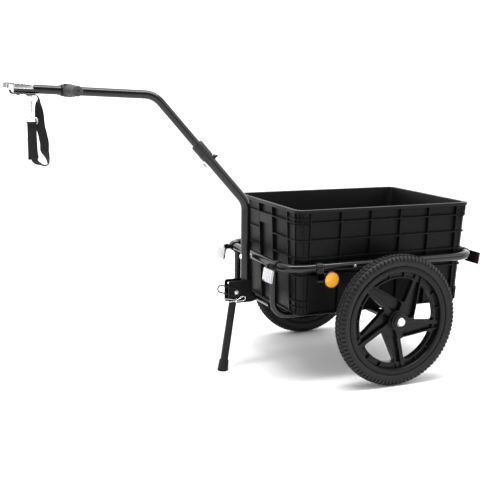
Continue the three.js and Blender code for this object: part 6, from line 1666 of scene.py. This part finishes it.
    def edge(self, rim_start: Array, rim_corner: Array, tip: Array, beyond: Array) -> Array:
        """A window's edge as quadratics and a line: round the rim's corner, to the tip and half round it."""
        toward = lambda a, b: a + unit(b - a) * self.corner
        t = np.linspace(0, 1, 8)[:, None]
        first_end = toward(rim_corner, tip)
        first = (1 - t) ** 2 * rim_start + 2 * t * (1 - t) * rim_corner + t**2 * first_end
        line_end = toward(tip, rim_corner)
        line = first_end + (line_end - first_end) * np.linspace(0, 1, 9)[1:, None]
        t = np.linspace(0, 0.5, 5)[1:, None]
        last = (1 - t) ** 2 * line_end + 2 * t * (1 - t) * tip + t**2 * toward(tip, beyond)
        return np.concatenate([first, line, last])

    def edges(self, number: int) -> tuple[Array, Array]:
        """The two edges of a spoke, from the rim to the tips of the windows beside it.

        Args:
            number: which spoke.

        Returns:
            Rows of x and z for the straight and for the slanting edge, as many on both.
        """
        turn, following = self.start + number * self.step, self.start + (number + 1) * self.step
        skip = self.corner / self.window
        rim_a, rim_b, next_a, next_b = (self.polar(self.window, angle) for angle in (
            turn, turn + self.span, following, following + self.span))
        tip, next_tip = self.polar(self.tip, turn + self.span), self.polar(self.tip, following + self.span)
        straight = self.edge(self.polar(self.window, turn + self.span - skip), rim_b, tip, rim_a)
        slanting = self.edge(self.polar(self.window, following + skip), next_a, next_tip, next_b)
        return straight, slanting

    def slant(self, number: int, radius: Array) -> Array:
        """Angle at which the slanting side's line, rim corner + s heading, crosses a radius."""
        following = self.start + (number + 1) * self.step
        corner = self.polar(self.window, following)
        way = unit(self.polar(self.tip, following + self.span) - corner)
        along = float(corner @ way)
        s = -along - np.sqrt(np.maximum(along**2 - self.window**2 + radius**2, 0.0))
        point = corner + s[:, None] * way
        return np.arctan2(point[:, 1], point[:, 0])

    def spoke(self, number: int) -> Array:
        """One spoke and its share of the hub's web: a wall along either side and a hollow between them.

        The section runs from side to side in polar coordinates. Each wall is measured from the side's own
        line, so that it keeps its width beside the window's round corners, and both run on to rim and hub.
        """
        pair = self.edges(number)
        radius = np.stack([np.linalg.norm(edge, axis=1) for edge in pair], axis=1)
        angle = np.stack([np.arctan2(edge[:, 1], edge[:, 0]) for edge in pair], axis=1)
        straight = self.start + self.span + number * self.step
        lead = np.array(self.lead)
        outward, base = (np.stack([np.full(len(reach), straight), self.slant(number, reach)], axis=1)
                         for reach in (lead, np.maximum(radius[:, 1], self.tip + 1.0)))
        inner = np.linspace(radius[-1].mean(), self.web_end, 6)[1:]
        last = np.tile(angle[-1], (len(inner), 1))
        radius = np.concatenate([np.stack([lead, lead], axis=1), radius, np.stack([inner, inner], axis=1)])
        angle, base = (straight + (values - straight + 0.5 * np.pi) % (2 * np.pi) - 0.5 * np.pi
                       for values in (np.concatenate([outward, angle, last]),
                                      np.concatenate([outward, base, last])))
        steps = lambda wall: np.array([wall - 1.2, wall - 0.4, wall + 0.6])
        one = base[:, :1] + steps(self.straight_wall) / radius[:, :1]
        two = base[:, 1:] - steps(self.slanting_wall)[::-1] / radius[:, 1:]
        edge_one, edge_two = angle[:, :1] + 0.6 / radius[:, :1], angle[:, 1:] - 0.6 / radius[:, 1:]
        a = np.concatenate([angle[:, :1], edge_one, one, two, edge_two, angle[:, 1:]], axis=1)
        share = np.clip((a - angle[:, :1]) / (angle[:, 1:] - angle[:, :1]), 0.0, 1.0)
        r = radius[:, :1] + (radius[:, 1:] - radius[:, :1]) * share
        wall = np.array([self.half - 0.6, self.half, self.half, self.half - 0.9])
        front, back = np.append(wall, self.hollow), np.append(-wall, self.back_hollow)
        sheets = []
        for heights in (front, back):
            across = np.broadcast_to(np.concatenate([heights, heights[::-1]]), r.shape)
            sheets.append(np.stack([r * np.cos(a), across, r * np.sin(a)], axis=-1))
        return np.concatenate([sheets[0], sheets[1][:, ::-1]], axis=1)

    def band(self, number: int) -> Array:
        """The raised edge under the rim along one window: a rounded section carried along its arc."""
        turn = self.start + number * self.step
        angle = np.linspace(turn - 0.03, turn + self.span + 0.03, 28)[:, None]
        low, high, tall = self.window, self.window + self.edge_width, self.half + 0.2
        side = np.array([(low, -tall + 0.6), (low + 0.6, -tall), (high - 0.6, -tall), (high, -tall + 0.6)])
        radius, across = np.concatenate([side, side[::-1] * np.array([1, -1])]).T
        return np.stack([radius * np.cos(angle), np.broadcast_to(across, (len(angle), len(across))),
                         radius * np.sin(angle)], axis=-1)

    def disc(self) -> None:
        """Make the rim, its channel ribs, the spokes and the hub as one piece."""
        rim, hub = (np.concatenate([rows, rows[::-1] * np.array([1, -1])]) for rows in (
            np.array(self.rim_rows), np.array(self.hub_rows)))
        middle = np.zeros(3)
        skin = Skin().lathe(rim, middle, ACROSS, 144, ring=True)
        for number in range(self.spokes):
            skin.grid(self.spoke(number)).grid(self.band(number))
        skin.lathe(hub, middle, ACROSS, 72, ring=True)
        plan = rectangle(*self.rib, (self.rib_radius, 0))
        for number in range(2 * self.spokes):
            angle = math.radians(self.rib_turns[number % 2]) + (number // 2) * self.step
            out, along = vec(math.cos(angle), 0, math.sin(angle)), vec(-math.sin(angle), 0, math.cos(angle))
            skin.grid(slab(plan, middle, out, along, -self.rib_half, self.rib_half, 0.5))
        word = self.side.word
        self.fit(skin).build(f"{word}_wheel_disc", WHEEL, f"{word}_wheel", body=self.body, sharp=32)


class Studio:
    """The plain pale floor, the lights and the camera at the photograph's angle, in metres.

    The lamps' rows are name, place, the point that each faces, width, depth and power in watts.
    """

    position = Vector((-1.0073, -2.3762, 0.8740))
    target = Vector((-0.0214, 0.0, 0.4094))
    lens = 63.95
    sensor = 36.0
    far = 50.0
    roll = math.radians(0.53)
    front = (0.38, 0.92, 0.0)
    fall = {"From Min": 0.0, "From Max": 0.7, "To Min": 1.8, "To Max": 0.24}
    floor_half = 12
    paper = (0.93, 0.93, 0.93, 1)
    lamps = (("overhead", (0.1, 0.1, 2.9), (0, 0, 0.3), 2.6, 2.6, 28.0),
             ("strip", (0.0, -0.5, 2.4), (0, 0, 0.3), 2.6, 0.34, 58.0),
             ("front left", (-2.6, -1.6, 1.9), (0, 0, 0.4), 1.5, 1.5, 8.0),
             ("right", (2.2, -2.4, 1.7), (0.3, 0, 0.3), 1.4, 1.4, 12.0))

    def camera(self) -> None:
        """Place the camera: it looks at the target and is rolled by a fitted half degree."""
        data = bpy.data.cameras.new("camera")
        data.lens = self.lens
        data.sensor_width = self.sensor
        data.clip_end = self.far
        camera = bpy.data.objects.new("camera", data)
        bpy.context.scene.collection.objects.link(camera)
        camera.location = self.position
        look = (self.target - self.position).to_track_quat("-Z", "Y").to_matrix().to_4x4()
        camera.rotation_euler = (look @ Matrix.Rotation(self.roll, 4, "Z")).to_euler()
        bpy.context.scene.camera = camera

    def light(self, name: str, place: tuple, aim: tuple, width: float, depth: float, power: float) -> None:
        """Add one soft area light.

        Args:
            name: the light's name.
            place: where it stands.
            aim: the point that it faces.
            width: its width.
            depth: its other side.
            power: its power in watts.
        """
        data = bpy.data.lights.new(name, "AREA")
        data.energy = power
        data.shape = "RECTANGLE"
        data.size = width
        data.size_y = depth
        lamp = bpy.data.objects.new(name, data)
        bpy.context.scene.collection.objects.link(lamp)
        lamp.location = place
        lamp.rotation_euler = (Vector(aim) - Vector(place)).to_track_quat("-Z", "Y").to_euler()

    def room(self) -> None:
        """A white room, dim on the camera's side: its strength falls smoothly with direction . front."""
        world = bpy.data.worlds.new("studio")
        world.use_nodes = True
        tree = world.node_tree
        sky = tree.nodes["Background"]
        sky.inputs["Color"].default_value = (1.0, 1.0, 1.0, 1)
        incoming = tree.nodes.new("ShaderNodeNewGeometry")
        toward = tree.nodes.new("ShaderNodeVectorMath")
        toward.operation = "DOT_PRODUCT"
        toward.inputs[1].default_value = self.front
        tree.links.new(incoming.outputs["Incoming"], toward.inputs[0])
        fall = tree.nodes.new("ShaderNodeMapRange")
        fall.interpolation_type = "SMOOTHSTEP"
        for label, value in self.fall.items():
            fall.inputs[label].default_value = value
        tree.links.new(toward.outputs["Value"], fall.inputs["Value"])
        tree.links.new(fall.outputs["Result"], sky.inputs["Strength"])
        bpy.context.scene.world = world

    def build(self) -> None:
        """Set up the floor, the world, the lights and the camera."""
        far = self.floor_half
        mesh = bpy.data.meshes.new("floor")
        mesh.from_pydata([(-far, -far, 0), (far, -far, 0), (far, far, 0), (-far, far, 0)], [], [(0, 1, 2, 3)])
        paper = bpy.data.materials.new("white paper")
        paper.use_nodes = True
        shader = paper.node_tree.nodes["Principled BSDF"]
        shader.inputs["Base Color"].default_value = self.paper
        shader.inputs["Roughness"].default_value = 0.9
        mesh.materials.append(paper)
        floor = bpy.data.objects.new("floor", mesh)
        bpy.context.scene.collection.objects.link(floor)
        floor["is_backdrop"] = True
        self.room()
        bpy.context.scene.view_settings.view_transform = "Standard"
        for lamp in self.lamps:
            self.light(*lamp)
        self.camera()


def keep(nodes: dict) -> None:
    """Give the CAD nodes that stay in place their node materials.

    Args:
        nodes: CAD node names with their finishes.
    """
    for name, finish in nodes.items():
        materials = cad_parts[name].data.materials
        materials.clear()
        materials.append(finish.material())
        LOG.info("%s keeps its CAD shape", name)


def corners() -> list:
    """The lowest and highest corner of everything that shows, as plain lists."""
    return [[float(value) for value in corner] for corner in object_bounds()]


def main() -> None:
    """Build the studio and the trailer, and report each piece."""
    logging.basicConfig(level=logging.INFO, format="%(name)s: %(message)s")
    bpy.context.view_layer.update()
    Studio().build()
    tubes, drawbar = FrameTubes(), Drawbar()
    for assembly in (Tub(), tubes, drawbar, Coupling(drawbar), Stand(), Reflectors(tubes), *map(Wheel, Side)):
        assembly.build()
    keep({f"{side.word}_{end}_bearing": STEEL for side in Side for end in ("outer", "inner")})
    keep({f"{side.word}_inner_tube": RUBBER for side in Side})


if __name__ == "__main__":
    main()
